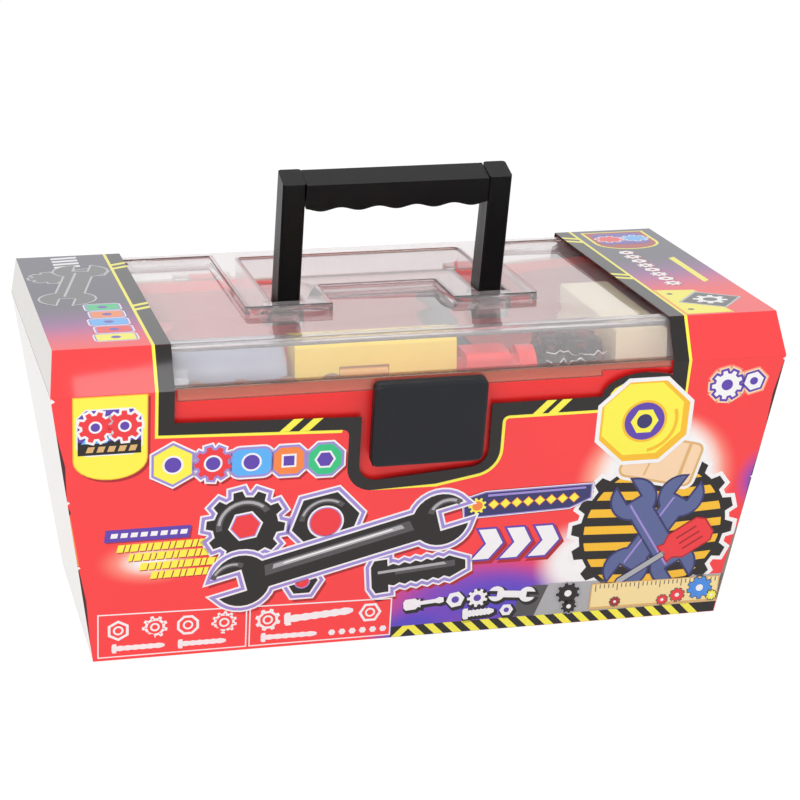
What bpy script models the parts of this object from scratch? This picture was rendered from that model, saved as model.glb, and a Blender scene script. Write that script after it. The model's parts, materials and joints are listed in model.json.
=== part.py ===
"""A child's carry tool box in its printed card sleeve.

Metres, +Z up, front towards -Y, origin under the middle of the box on the surface it stands on.
The tub, the clear lid and the card all follow one taper: each piece is measured in from the
outside of the card. The card is split along its rim crease, so its upper bands open with the lid.
"""

import math

import bmesh
import bpy
from mathutils import Matrix, Vector

NAME = "toy_tool_box"

# Outside of the card sleeve
CREASE_LENGTH = 0.330
CREASE_DEPTH = 0.199
CREASE_HEIGHT = 0.1336
TOP_LENGTH = 0.3256
TOP_DEPTH = 0.181
TOP_HEIGHT = 0.152
BASE_LENGTH = 0.2947
BASE_DEPTH = 0.1326

# Shared fits and the overrun of every cut
PART_GAP = 0.0003
CARD_GAP = 0.0004
OVERRUN = 0.010

# Card sleeve and its die-cut window
CARD = 0.0007
WINDOW_HALF = 0.112
WINDOW_SILL = 0.118
WINDOW_LEFT_FALL = 0.0026
LATCH_CUT_HALF = 0.0295
LATCH_CUT_LEFT_SILL = 0.0835
LATCH_CUT_RIGHT_SILL = 0.0870
LATCH_CUT_CORNER = 0.008
ARCH_CENTRE = 0.1005
ARCH_HALF = 0.0205
ARCH_RISE = 0.0110

# Red tub
SKIRT = 0.0009
TUB_WALL = 0.0020
TUB_FLOOR = 0.0024
TUB_CORNER = 0.007
TUB_FOOT_ROUND = 0.003
LEDGE_REACH = 0.005
LEDGE_HALF_DEPTH = 0.030
LEDGE_HEIGHT = 0.004

# Lift-out tray
TRAY_BASE = 0.1140
TRAY_RIM = 0.1290
TRAY_WALL = 0.0013
TRAY_FLOOR = 0.0016
TRAY_CORNER = 0.004
DIVIDER_FROM_FRONT = 0.0396
DIVIDER_HEIGHT = 0.009

# Clear lid
LID_WALL = 0.0016
LID_INSET = 0.0022
LID_EDGE_ROUND = 0.0030
LID_CORNER = 0.007
FLANGE_RISE = 0.0012
SKIRT_DROP = 0.0054
ARCH_SKIRT_DROP = 0.0028
SKIRT_SIDE_GAP = 0.0010
POCKET_DEPTH = 0.0036
POCKET_HALF = 0.150
POCKET_FRONT = -0.0805
POCKET_BACK = 0.0805
POCKET_CORNER = 0.003
PLATFORM_HALF = 0.0690
PLATFORM_FRONT = -0.0280
PLATFORM_CORNER = 0.002
NOTCH_HALF = 0.0285
NOTCH_BACK = 0.0090
WELL_HALF = 0.0555
WELL_FRONT = 0.0260
WELL_BACK = 0.0740
WELL_DEPTH = 0.0143
WELL_CORNER = 0.002

# Folding handle
HANDLE_TILT = math.radians(18.0)
HANDLE_DEPTH = 0.0150
LEG_INNER = 0.0425
LEG_WIDTH = 0.0105
LEG_RISE = 0.0690
LEG_ROUND = 0.0014
GRIP_HEIGHT = 0.0132
GRIP_WAVE = 0.0009
GRIP_WAVE_PITCH = 0.0175
GRIP_SINK = 0.0005
PIVOT_Y = -0.0107
PIVOT_DEPTH = 0.0059
PIVOT_RADIUS = 0.0018
PIVOT_END = 0.0010
BOSS_RADIUS = 0.0042
TENON_LENGTH = 0.0060
TENON_HALF_HEIGHT = 0.0030
TENON_HALF_DEPTH = 0.0040

# Rear hinge
HINGE_RADIUS = 0.0028
HINGE_PIN_RADIUS = 0.0011
HINGE_X = 0.070
HINGE_TUB_KNUCKLE = 0.012
HINGE_LID_KNUCKLE = 0.008
HINGE_WEB_ROOT = 0.0030
HINGE_WEB_SHARE = 0.8

# Front latch, hinged at its foot on two lugs of the tub
LATCH_HALF = 0.0255
LATCH_TOP = 0.0384
LATCH_AXIS_Z = 0.0950
LATCH_STAND_OFF = 0.0037
LATCH_RADIUS = 0.0028
LATCH_PLATE = 0.0020
LATCH_WALL = 0.0018
LATCH_CORNER = 0.0032
LATCH_EDGE_ROUND = 0.0018
LATCH_CARD_GAP = 0.0007
LATCH_LIP_WIDTH = 0.030
LATCH_LIP_THICKNESS = 0.0015
LATCH_PIN_RADIUS = 0.0010
LUG_INNER = 0.0080
LUG_OUTER = 0.0140
LUG_HALF_HEIGHT = 0.0019
LUG_ROUND_SHARE = 0.9

# Toy tools in the tray
LEVEL_GAP = 0.0030
LEVEL_LENGTH = 0.0730
LEVEL_FROM_FRONT = 0.0091
LEVEL_DEPTH = 0.0200
LEVEL_HEIGHT = 0.0293
LEVEL_ROUND = 0.0022
VIAL_OFFSET = -0.0055
VIAL_LENGTH = 0.0220
VIAL_RADIUS = 0.0036
HAMMER_GAP = 0.0005
HAMMER_FROM_FRONT = 0.0161
HAMMER_BLOCK_HALF = 0.0100
HAMMER_CHEEK = 0.0105
HAMMER_ROUND = 0.0035
HAMMER_NECK_RADIUS = 0.0070
HAMMER_FACE_RADIUS = 0.0110
HAMMER_FACE_LENGTH = 0.0080
HAMMER_NECK_LENGTH = 0.0045
HAMMER_CLAW_LENGTH = 0.0035
HAMMER_CLAW_ROOT = 0.0094
HAMMER_CLAW_TIP = 0.0052
HAMMER_HANDLE_RADIUS = 0.0068
HAMMER_HANDLE_LENGTH = 0.110
HAMMER_TANG = 0.0034
DRIVER_FROM_FRONT = 0.0236
DRIVER_RADIUS = 0.0140
DRIVER_HANDLE_LENGTH = 0.062
DRIVER_SHAFT_RADIUS = 0.0025
DRIVER_SHAFT_LENGTH = 0.034
DRIVER_SOCKET = 0.0085
BOLT_FROM_LEFT = 0.0460
BOLT_PITCH = 0.0200
BOLT_COUNT = 4
BOLT_FROM_FRONT = 0.0033
BOLT_HEAD_RADIUS = 0.0050
BOLT_HEAD_HEIGHT = 0.0062
BOLT_SHANK_RADIUS = 0.0030
BOLT_TOP = 0.0172
PLANK_GAP = 0.0030
PLANK_WIDTH = 0.0240
PLANK_FROM_FRONT = 0.0061
PLANK_LENGTH = 0.0880
PLANK_HEIGHT = 0.0288
PLANK_ROUND = 0.0010
BAG_GAP = 0.0020
BAG_WIDTH = 0.0315
BAG_FROM_FRONT = 0.0041
BAG_DEPTH = 0.0330
BAG_HEIGHT = 0.0265
BAG_ROUND = 0.0072
BAG_EDGE_ROUND = 0.0024
SPANNER_X_SHARE = -0.674
SPANNER_Y = 0.0150
SPANNER_LENGTH = 0.105
SPANNER_HEAD_RADIUS = 0.0140
SPANNER_JAW = 0.0110
SPANNER_WAIST = 0.0100
SPANNER_THICKNESS = 0.0060
SPANNER_RING_BORE = 0.0065

# Where the row of tools starts, as a share of the room to spare in the tray
ROW_START_SHARE = 0.188

# Turned profiles: shares of the piece's length and of its radius
HAMMER_HANDLE_SHARES = ((0.45, 0.7), (0.6, 1.0), (0.95, 0.95), (1.0, 0.7))
HAMMER_SHOULDER_SHARE = 0.8
DRIVER_SHARES = ((0.0, 0.88), (0.03, 0.98), (0.3, 1.0), (0.84, 1.0), (0.90, 0.7), (0.94, 0.82), (1.0, 0.5))
BOLT_CROWN_SHARES = ((0.0, 1.0), (0.5, 1.0), (0.85, 0.75), (1.0, 0.3))

# How finely curves are drawn, and how near points must lie to be taken as one
ROUND_SIDES = 24
ARC_STEPS = 5
ARCH_STEPS = 12
WAVE_STEPS = 50
JAW_STEPS = 8
RING_STEPS = 16
MERGE_SHARE = 0.001
SNAP_SHARE = 0.01

# Turns a flat outline so that it stands along X and Z
UPRIGHT = Matrix.Rotation(math.pi / 2, 4, "X")

# Levels and insets that follow from the sizes above
JOINT_HEIGHT = CREASE_HEIGHT
TUB_INSET = CARD + CARD_GAP + SKIRT + PART_GAP
TUB_BASE = CARD + PART_GAP
TUB_RIM = JOINT_HEIGHT - PART_GAP / 2
LID_BASE = JOINT_HEIGHT + PART_GAP / 2
LID_TOP = TOP_HEIGHT - CARD - CARD_GAP
FLANGE_INSET = CARD + CARD_GAP
PANEL_LEVEL = LID_TOP - POCKET_DEPTH
WELL_LEVEL = LID_TOP - WELL_DEPTH
PIVOT_Z = LID_TOP - PIVOT_DEPTH
TRAY_LEVEL = TRAY_BASE + TRAY_FLOOR + PART_GAP


def lower_half(height):
    """Half length and half depth of the card's outside below the crease."""
    share = height / CREASE_HEIGHT
    length = BASE_LENGTH + (CREASE_LENGTH - BASE_LENGTH) * share
    depth = BASE_DEPTH + (CREASE_DEPTH - BASE_DEPTH) * share
    return length / 2, depth / 2


def upper_half(height):
    """Half length and half depth of the card's outside above the crease."""
    share = (height - CREASE_HEIGHT) / (TOP_HEIGHT - CREASE_HEIGHT)
    length = CREASE_LENGTH + (TOP_LENGTH - CREASE_LENGTH) * share
    depth = CREASE_DEPTH + (TOP_DEPTH - CREASE_DEPTH) * share
    return length / 2, depth / 2


TRAY_INSET = TUB_INSET + TUB_WALL + PART_GAP
TRAY_HALF_LENGTH = lower_half(TRAY_BASE + TRAY_FLOOR)[0] - TRAY_INSET - TRAY_WALL
TRAY_FRONT = TRAY_INSET + TRAY_WALL - lower_half(TRAY_BASE + TRAY_FLOOR)[1]
DRIVER_LENGTH = DRIVER_SHAFT_LENGTH - DRIVER_SOCKET + DRIVER_HANDLE_LENGTH
HAMMER_LENGTH = HAMMER_CLAW_LENGTH + 2 * HAMMER_BLOCK_HALF + HAMMER_NECK_LENGTH + HAMMER_FACE_LENGTH
ROW_GAPS = LEVEL_GAP + HAMMER_GAP + BAG_GAP + PLANK_GAP
ROW_LENGTH = DRIVER_LENGTH + LEVEL_LENGTH + HAMMER_LENGTH + BAG_WIDTH + PLANK_WIDTH + ROW_GAPS
ROW_LEFT = (2 * TRAY_HALF_LENGTH - ROW_LENGTH) * ROW_START_SHARE - TRAY_HALF_LENGTH
LEVEL_LEFT = ROW_LEFT + DRIVER_LENGTH + LEVEL_GAP
HAMMER_LEFT = LEVEL_LEFT + LEVEL_LENGTH + HAMMER_GAP
HAMMER_X = HAMMER_LEFT + HAMMER_CLAW_LENGTH + HAMMER_BLOCK_HALF
BAG_LEFT = HAMMER_LEFT + HAMMER_LENGTH + BAG_GAP
PLANK_LEFT = BAG_LEFT + BAG_WIDTH + PLANK_GAP
HINGE_Y = CREASE_DEPTH / 2 - FLANGE_INSET + HINGE_RADIUS + PART_GAP
WALL_ANGLE = math.atan2((CREASE_DEPTH - BASE_DEPTH) / 2, CREASE_HEIGHT)
LATCH_AXIS_Y = -(lower_half(LATCH_AXIS_Z)[1] + LATCH_STAND_OFF / math.cos(WALL_ANGLE))


def clear_scene():
    """Remove whatever the scene holds."""
    for thing in list(bpy.data.objects):
        bpy.data.objects.remove(thing, do_unlink=True)


def collection(name):
    """A new collection in the scene."""
    made = bpy.data.collections.new(name)
    bpy.context.scene.collection.children.link(made)
    return made


def material(name, colour, roughness, metallic=0.0, alpha=1.0):
    """A plain material of one colour."""
    made = bpy.data.materials.new(name)
    made.use_nodes = True
    shader = made.node_tree.nodes["Principled BSDF"]
    shader.inputs["Base Color"].default_value = (*colour, 1.0)
    shader.inputs["Roughness"].default_value = roughness
    shader.inputs["Metallic"].default_value = metallic
    shader.inputs["Alpha"].default_value = alpha
    return made


def solid(name, bm, finish=None, group=None):
    """An object from a bmesh, in the parts or the cutters."""
    bmesh.ops.recalc_face_normals(bm, faces=bm.faces)
    mesh = bpy.data.meshes.new(name)
    bm.to_mesh(mesh)
    bm.free()
    mesh.shade_smooth()
    mesh.set_sharp_from_angle(angle=math.radians(30))
    made = bpy.data.objects.new(name, mesh)
    if finish:
        mesh.materials.append(finish)
    (group or CUTTERS).objects.link(made)
    if not group:
        made.hide_render = True
        made.display_type = "WIRE"
    return made


def round_edges(bm, edges, radius, segments):
    """Round the given edges."""
    bmesh.ops.bevel(
        bm,
        geom=edges,
        offset=radius,
        offset_type="OFFSET",
        segments=segments,
        profile=0.5,
        affect="EDGES",
        material=-1,
    )


def along(edge, axis):
    """Whether an edge runs mostly along one axis."""
    run = edge.verts[1].co - edge.verts[0].co
    return abs(run[axis]) > run.length * math.cos(math.radians(30))


def lies_at(edge, axis, level):
    """Whether both ends of an edge lie at a level along one axis."""
    near = edge.calc_length() * SNAP_SHARE
    return all(abs(vert.co[axis] - level) < near for vert in edge.verts)


def block(name, low, high, axis=2, corner=0.0, segments=3, face=None, edge=0.0, **place):
    """A box from its low to its high corner.

    The four edges along `axis` are rounded by `corner`. `face` is (axis, side): the edges of
    that face are rounded by `edge`.
    """
    bm = bmesh.new()
    bmesh.ops.create_cube(bm, size=2)
    for vert in bm.verts:
        vert.co = Vector(high[i] if vert.co[i] > 0 else low[i] for i in range(3))
    if corner:
        round_edges(bm, [e for e in bm.edges if along(e, axis)], corner, segments)
    if face:
        level = high[face[0]] if face[1] > 0 else low[face[0]]
        rim = [e for e in bm.edges if lies_at(e, face[0], level)]
        round_edges(bm, rim, edge, segments)
    return solid(name, bm, **place)


def tapered(name, half, inset, low, high, corner=0.0, top=0.0, foot=0.0, segments=3, **place):
    """A block whose four sides follow the sleeve, `inset` inside its outer faces."""
    bm = bmesh.new()
    bmesh.ops.create_cube(bm, size=2)
    for vert in bm.verts:
        level = high if vert.co.z > 0 else low
        length, depth = (size - inset for size in half(level))
        vert.co = Vector((math.copysign(length, vert.co.x), math.copysign(depth, vert.co.y), level))
    if corner:
        round_edges(bm, [e for e in bm.edges if along(e, 2)], corner, segments)
    for level, radius in ((high, top), (low, foot)):
        if radius:
            rim = [e for e in bm.edges if lies_at(e, 2, level)]
            round_edges(bm, rim, radius, segments)
    return solid(name, bm, **place)


def rod(name, radius, start, end, sides=ROUND_SIDES, tip=None, **place):
    """A straight round bar between two points, or a cone where `tip` gives another end radius."""
    start, end = Vector(start), Vector(end)
    bm = bmesh.new()
    bmesh.ops.create_cone(
        bm,
        cap_ends=True,
        segments=sides,
        radius1=radius,
        radius2=radius if tip is None else tip,
        depth=(end - start).length,
    )
    turn = (end - start).to_track_quat("Z", "Y").to_matrix().to_4x4()
    bmesh.ops.transform(bm, matrix=Matrix.Translation((start + end) / 2) @ turn, verts=bm.verts)
    return solid(name, bm, **place)


def outline(name, points, thickness, frame, **place):
    """A flat outline of the given thickness. `frame` takes its plane to where it lies."""
    curve = bpy.data.curves.new(name, "CURVE")
    curve.dimensions = "2D"
    curve.fill_mode = "BOTH"
    curve.extrude = thickness / 2
    spline = curve.splines.new("POLY")
    spline.points.add(len(points) - 1)
    for point, (x, y) in zip(spline.points, points):
        point.co = (x, y, 0.0, 1.0)
    spline.use_cyclic_u = True
    drawn = bpy.data.objects.new(name + "_outline", curve)
    CUTTERS.objects.link(drawn)
    bpy.context.view_layer.update()
    mesh = bpy.data.meshes.new_from_object(drawn.evaluated_get(bpy.context.evaluated_depsgraph_get()))
    bpy.data.objects.remove(drawn)
    bm = bmesh.new()
    bm.from_mesh(mesh)
    bpy.data.meshes.remove(mesh)
    bmesh.ops.remove_doubles(bm, verts=bm.verts, dist=thickness * MERGE_SHARE)
    bmesh.ops.transform(bm, matrix=frame, verts=bm.verts)
    return solid(name, bm, **place)


def arc(centre, radius, start, end, steps=ARC_STEPS):
    """Points on an arc, angles in degrees."""
    points = []
    for step in range(steps + 1):
        angle = math.radians(start + (end - start) * step / steps)
        points.append((centre[0] + radius * math.cos(angle), centre[1] + radius * math.sin(angle)))
    return points


def turned(name, profile, start, direction, sides=ROUND_SIDES, **place):
    """A turned shape: (distance, radius) pairs along a direction, closed at both ends."""
    bm = bmesh.new()
    rings = [bm.verts.new((radius, 0.0, distance)) for distance, radius in profile]
    for first, second in zip(rings, rings[1:]):
        bm.edges.new((first, second))
    bmesh.ops.spin(
        bm,
        geom=bm.verts[:] + bm.edges[:],
        cent=(0, 0, 0),
        axis=(0, 0, 1),
        angle=2 * math.pi,
        steps=sides,
        use_merge=True,
    )
    bmesh.ops.holes_fill(bm, edges=[e for e in bm.edges if e.is_boundary])
    turn = Vector(direction).to_track_quat("Z", "Y").to_matrix().to_4x4()
    bmesh.ops.transform(bm, matrix=Matrix.Translation(start) @ turn, verts=bm.verts)
    return solid(name, bm, **place)


def combine(target, others, operation):
    """Boolean each of the others with the target."""
    for other in others:
        modifier = target.modifiers.new(other.name, "BOOLEAN")
        modifier.operation = operation
        modifier.object = other
        modifier.solver = "EXACT"


def cut(target, *others):
    """Take the others away from the target."""
    combine(target, others, "DIFFERENCE")


def join(target, *others):
    """Make the others one body with the target."""
    combine(target, others, "UNION")


def joint_empty(name, place, turn=0.0):
    """An empty on a joint's axis, leaning about X."""
    empty = bpy.data.objects.new(name, None)
    empty.location = place
    empty.rotation_euler.x = turn
    PARTS.objects.link(empty)
    return empty


def carry(empty, *pieces):
    """Parent pieces, and what cuts them, to the empty of their joint."""
    for piece in pieces:
        piece.parent = empty
        for modifier in piece.modifiers:
            modifier.object.parent = empty


def window_points():
    """The front window: the opening above the sill, the arch of card and the latch's cut-out."""
    above = CREASE_HEIGHT + OVERRUN
    corner = LATCH_CUT_CORNER
    left, right = -LATCH_CUT_HALF, LATCH_CUT_HALF
    points = [(-WINDOW_HALF, above), (-WINDOW_HALF, WINDOW_SILL), (left, WINDOW_SILL - WINDOW_LEFT_FALL)]
    points += arc((left + corner, LATCH_CUT_LEFT_SILL + corner), corner, 180, 270)
    points += arc((right - corner, LATCH_CUT_RIGHT_SILL + corner), corner, 270, 360)
    points.append((right, WINDOW_SILL))
    for x_share, y_share in arc((0.0, 0.0), 1.0, 180, 0, steps=ARCH_STEPS):
        points.append((ARCH_CENTRE + ARCH_HALF * x_share, WINDOW_SILL + ARCH_RISE * y_share))
    inside = [point for point in points if point[0] < WINDOW_HALF]
    return inside + [(WINDOW_HALF, inside[-1][1]), (WINDOW_HALF, above)]


def make_sleeve():
    """The lower sleeve on the tub and the two upper bands on the lid."""
    rim = JOINT_HEIGHT - PART_GAP / 2
    lower = tapered("sleeve_lower", lower_half, 0.0, 0.0, rim, finish=CARD_PRINT, group=PARTS)
    cut(lower, tapered("sleeve_hollow", lower_half, CARD, CARD, rim + OVERRUN))
    deep = CREASE_DEPTH / 2
    front = Matrix.Translation((0.0, -deep, 0.0)) @ UPRIGHT
    cut(lower, outline("front_window", window_points(), deep, front))
    cut(
        lower,
        block(
            "back_window",
            (-WINDOW_HALF, BASE_DEPTH / 2, WINDOW_SILL),
            (WINDOW_HALF, CREASE_DEPTH, CREASE_HEIGHT + OVERRUN),
        ),
    )
    base = JOINT_HEIGHT + PART_GAP / 2
    for side, label in ((-1, "left"), (1, "right")):
        name = f"sleeve_band_{label}"
        band = tapered(name, upper_half, 0.0, base, TOP_HEIGHT, finish=CARD_PRINT, group=PARTS)
        cut(band, tapered(f"band_hollow_{label}", upper_half, CARD, base - OVERRUN, TOP_HEIGHT - CARD))
        inner, outer = sorted((side * WINDOW_HALF, -side * CREASE_LENGTH))
        cut(
            band,
            block(
                f"band_end_{label}",
                (inner, -CREASE_DEPTH, base - OVERRUN),
                (outer, CREASE_DEPTH, TOP_HEIGHT + OVERRUN),
            ),
        )


def make_tub():
    """The red tub: shell, tray ledges, hinge knuckles and latch lugs."""
    tub = tapered(
        "tub",
        lower_half,
        TUB_INSET,
        TUB_BASE,
        TUB_RIM,
        corner=TUB_CORNER,
        foot=TUB_FOOT_ROUND,
        finish=RED_PLASTIC,
        group=PARTS,
    )
    floor = TUB_BASE + TUB_FLOOR
    inner = TUB_INSET + TUB_WALL
    cut(tub, tapered("tub_hollow", lower_half, inner, floor, TUB_RIM + OVERRUN, corner=TUB_CORNER - TUB_WALL))
    ledge_top = TRAY_BASE - PART_GAP
    wall = lower_half(ledge_top - LEDGE_HEIGHT)[0] - inner
    for side, label in ((-1, "left"), (1, "right")):
        near, far = sorted((side * (wall - LEDGE_REACH), side * (wall + TUB_WALL / 2)))
        join(
            tub,
            block(
                f"tray_ledge_{label}",
                (near, -LEDGE_HALF_DEPTH, ledge_top - LEDGE_HEIGHT),
                (far, LEDGE_HALF_DEPTH, ledge_top),
            ),
        )
    web_low = JOINT_HEIGHT - HINGE_RADIUS * HINGE_WEB_SHARE
    for knuckle in hinge_knuckles("tub", HINGE_TUB_KNUCKLE, (0.0,), web_low, TUB_RIM - PART_GAP):
        join(tub, knuckle)
    bore_hinges(tub, "tub")
    for side, label in ((-1, "left"), (1, "right")):
        near, far = sorted((side * LUG_INNER, side * LUG_OUTER))
        lug = block(
            f"latch_lug_{label}",
            (near, -LUG_HALF_HEIGHT, -LUG_HALF_HEIGHT),
            (far, LATCH_STAND_OFF + TUB_INSET + TUB_WALL / 2, LUG_HALF_HEIGHT),
            axis=0,
            corner=LUG_HALF_HEIGHT * LUG_ROUND_SHARE,
        )
        eye = rod(
            f"latch_lug_eye_{label}",
            LATCH_PIN_RADIUS + PART_GAP,
            (near - OVERRUN, 0.0, 0.0),
            (far + OVERRUN, 0.0, 0.0),
        )
        for tool in (lug, eye):
            tool.matrix_world = LATCH_FRAME
        join(tub, lug)
        cut(tub, eye)


def hinge_knuckles(owner, width, offsets, low, high):
    """Rear hinge knuckles, each with the web that joins it to its rim."""
    made = []
    for side in (-1, 1):
        for number, offset in enumerate(offsets):
            middle = side * HINGE_X + offset
            near, far = middle - width / 2, middle + width / 2
            label = f"{owner}_{'left' if side < 0 else 'right'}_{number}"
            made.append(
                block(
                    f"hinge_web_{label}",
                    (near + PART_GAP, CREASE_DEPTH / 2 - FLANGE_INSET - HINGE_WEB_ROOT, low),
                    (far - PART_GAP, HINGE_Y, high),
                )
            )
            made.append(
                rod(
                    f"hinge_barrel_{label}",
                    HINGE_RADIUS,
                    (near, HINGE_Y, JOINT_HEIGHT),
                    (far, HINGE_Y, JOINT_HEIGHT),
                )
            )
    return made


def bore_hinges(target, owner):
    """The pin holes through the knuckles."""
    for side, label in ((-1, "left"), (1, "right")):
        reach = HINGE_TUB_KNUCKLE + HINGE_LID_KNUCKLE
        cut(
            target,
            rod(
                f"hinge_bore_{owner}_{label}",
                HINGE_PIN_RADIUS + PART_GAP,
                (side * HINGE_X - reach, HINGE_Y, JOINT_HEIGHT),
                (side * HINGE_X + reach, HINGE_Y, JOINT_HEIGHT),
            ),
        )


def make_tray():
    """The red lift-out tray that carries the small tools."""
    inset = TRAY_INSET
    tray = tapered(
        "tray",
        lower_half,
        inset,
        TRAY_BASE,
        TRAY_RIM,
        corner=TUB_CORNER - TUB_WALL,
        finish=RED_PLASTIC,
        group=PARTS,
    )
    cut(
        tray,
        tapered(
            "tray_hollow",
            lower_half,
            inset + TRAY_WALL,
            TRAY_BASE + TRAY_FLOOR,
            TRAY_RIM + OVERRUN,
            corner=TRAY_CORNER,
        ),
    )
    floor = TRAY_BASE + TRAY_FLOOR
    left = inset - lower_half(floor)[0]
    divider_y = TRAY_FRONT + DIVIDER_FROM_FRONT
    join(
        tray,
        block(
            "tray_divider",
            (left, divider_y - TRAY_WALL / 2, floor - TRAY_FLOOR / 2),
            (LEVEL_LEFT + LEVEL_LENGTH, divider_y + TRAY_WALL / 2, floor + DIVIDER_HEIGHT),
        ),
    )


def pocket(name, grow, low, high):
    """The sunk panel round the handle platform, grown sideways by `grow`."""
    made = block(
        name,
        (-POCKET_HALF - grow, POCKET_FRONT - grow, low),
        (POCKET_HALF + grow, POCKET_BACK + grow, high),
        corner=POCKET_CORNER + grow,
    )
    platform = block(
        name + "_platform",
        (-PLATFORM_HALF + grow, PLATFORM_FRONT + grow, low - OVERRUN),
        (PLATFORM_HALF - grow, POCKET_BACK + OVERRUN, high + OVERRUN),
        corner=PLATFORM_CORNER,
    )
    cut(
        platform,
        block(
            name + "_notch",
            (-NOTCH_HALF - grow, PLATFORM_FRONT - OVERRUN, low - 2 * OVERRUN),
            (NOTCH_HALF + grow, NOTCH_BACK + grow, high + 2 * OVERRUN),
            corner=PLATFORM_CORNER,
        ),
    )
    cut(made, platform)
    return made


def well(name, grow, low, high):
    """The handle's well and the two channels that its legs stand in, grown by `grow`."""
    boxes = [
        block(
            f"{name}_basin",
            (-WELL_HALF - grow, WELL_FRONT - grow, low),
            (WELL_HALF + grow, WELL_BACK + grow, high),
            corner=WELL_CORNER + grow,
        )
    ]
    half_depth = HANDLE_DEPTH / 2
    lean = PIVOT_DEPTH * math.tan(HANDLE_TILT) + half_depth / math.cos(HANDLE_TILT)
    front = PIVOT_Y - lean - PART_GAP
    for side, label in ((-1, "left"), (1, "right")):
        inner, outer = sorted((side * (LEG_INNER - 2 * PART_GAP - grow), side * (WELL_HALF + grow)))
        boxes.append(
            block(f"{name}_channel_{label}", (inner, front - grow, low), (outer, WELL_FRONT + OVERRUN, high))
        )
    return boxes


def make_lid():
    """The clear lid: rounded shell, front skirt, sunk panel, handle platform and well."""
    lid = tapered(
        "lid",
        upper_half,
        LID_INSET,
        LID_BASE,
        LID_TOP,
        corner=LID_CORNER,
        top=LID_EDGE_ROUND,
        finish=CLEAR_PLASTIC,
        group=PARTS,
    )
    flange_top = LID_BASE + FLANGE_RISE
    join(lid, tapered("lid_flange", upper_half, FLANGE_INSET, LID_BASE, flange_top, corner=LID_CORNER))
    inner = LID_INSET + LID_WALL
    hollow = tapered(
        "lid_hollow",
        upper_half,
        inner,
        LID_BASE - OVERRUN,
        LID_TOP - LID_WALL,
        corner=LID_CORNER - LID_WALL,
        top=LID_EDGE_ROUND - LID_WALL,
    )
    above = LID_TOP + OVERRUN
    cut(hollow, pocket("pocket_shell", LID_WALL, PANEL_LEVEL - LID_WALL, above))
    cut(hollow, *well("well_shell", LID_WALL, WELL_LEVEL - LID_WALL, above + OVERRUN))
    cut(lid, hollow)
    cut(lid, pocket("pocket_cut", 0.0, PANEL_LEVEL, above))
    cut(lid, *well("well_cut", 0.0, WELL_LEVEL, above + OVERRUN))
    skirt_front = CREASE_DEPTH / 2 - FLANGE_INSET
    skirt_half = WINDOW_HALF - SKIRT_SIDE_GAP
    arch_near = ARCH_CENTRE - ARCH_HALF - SKIRT_SIDE_GAP
    for label, right, drop in (("long", arch_near, SKIRT_DROP), ("short", skirt_half, ARCH_SKIRT_DROP)):
        join(
            lid,
            block(
                f"lid_skirt_{label}",
                (-skirt_half, -skirt_front, LID_BASE - drop),
                (right, -skirt_front + SKIRT, LID_BASE + FLANGE_RISE / 2),
            ),
        )
    offsets = [s * (HINGE_TUB_KNUCKLE + HINGE_LID_KNUCKLE + 2 * PART_GAP) / 2 for s in (-1, 1)]
    web_high = JOINT_HEIGHT + HINGE_RADIUS * HINGE_WEB_SHARE
    for knuckle in hinge_knuckles("lid", HINGE_LID_KNUCKLE, offsets, LID_BASE + PART_GAP, web_high):
        join(lid, knuckle)
    bore_hinges(lid, "lid")
    for side, label in ((-1, "left"), (1, "right")):
        cut(
            lid,
            rod(
                f"pivot_hole_{label}",
                PIVOT_RADIUS + PART_GAP,
                (side * (LEG_INNER - OVERRUN), PIVOT_Y, PIVOT_Z),
                (side * (WELL_HALF + OVERRUN), PIVOT_Y, PIVOT_Z),
            ),
        )


def make_hinge_pins():
    """One steel pin through each rear hinge."""
    reach = HINGE_TUB_KNUCKLE / 2 + HINGE_LID_KNUCKLE + PART_GAP
    for side, label in ((-1, "left"), (1, "right")):
        rod(
            f"hinge_pin_{label}",
            HINGE_PIN_RADIUS,
            (side * HINGE_X - reach, HINGE_Y, JOINT_HEIGHT),
            (side * HINGE_X + reach, HINGE_Y, JOINT_HEIGHT),
            finish=STEEL,
            group=PARTS,
        )


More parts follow.
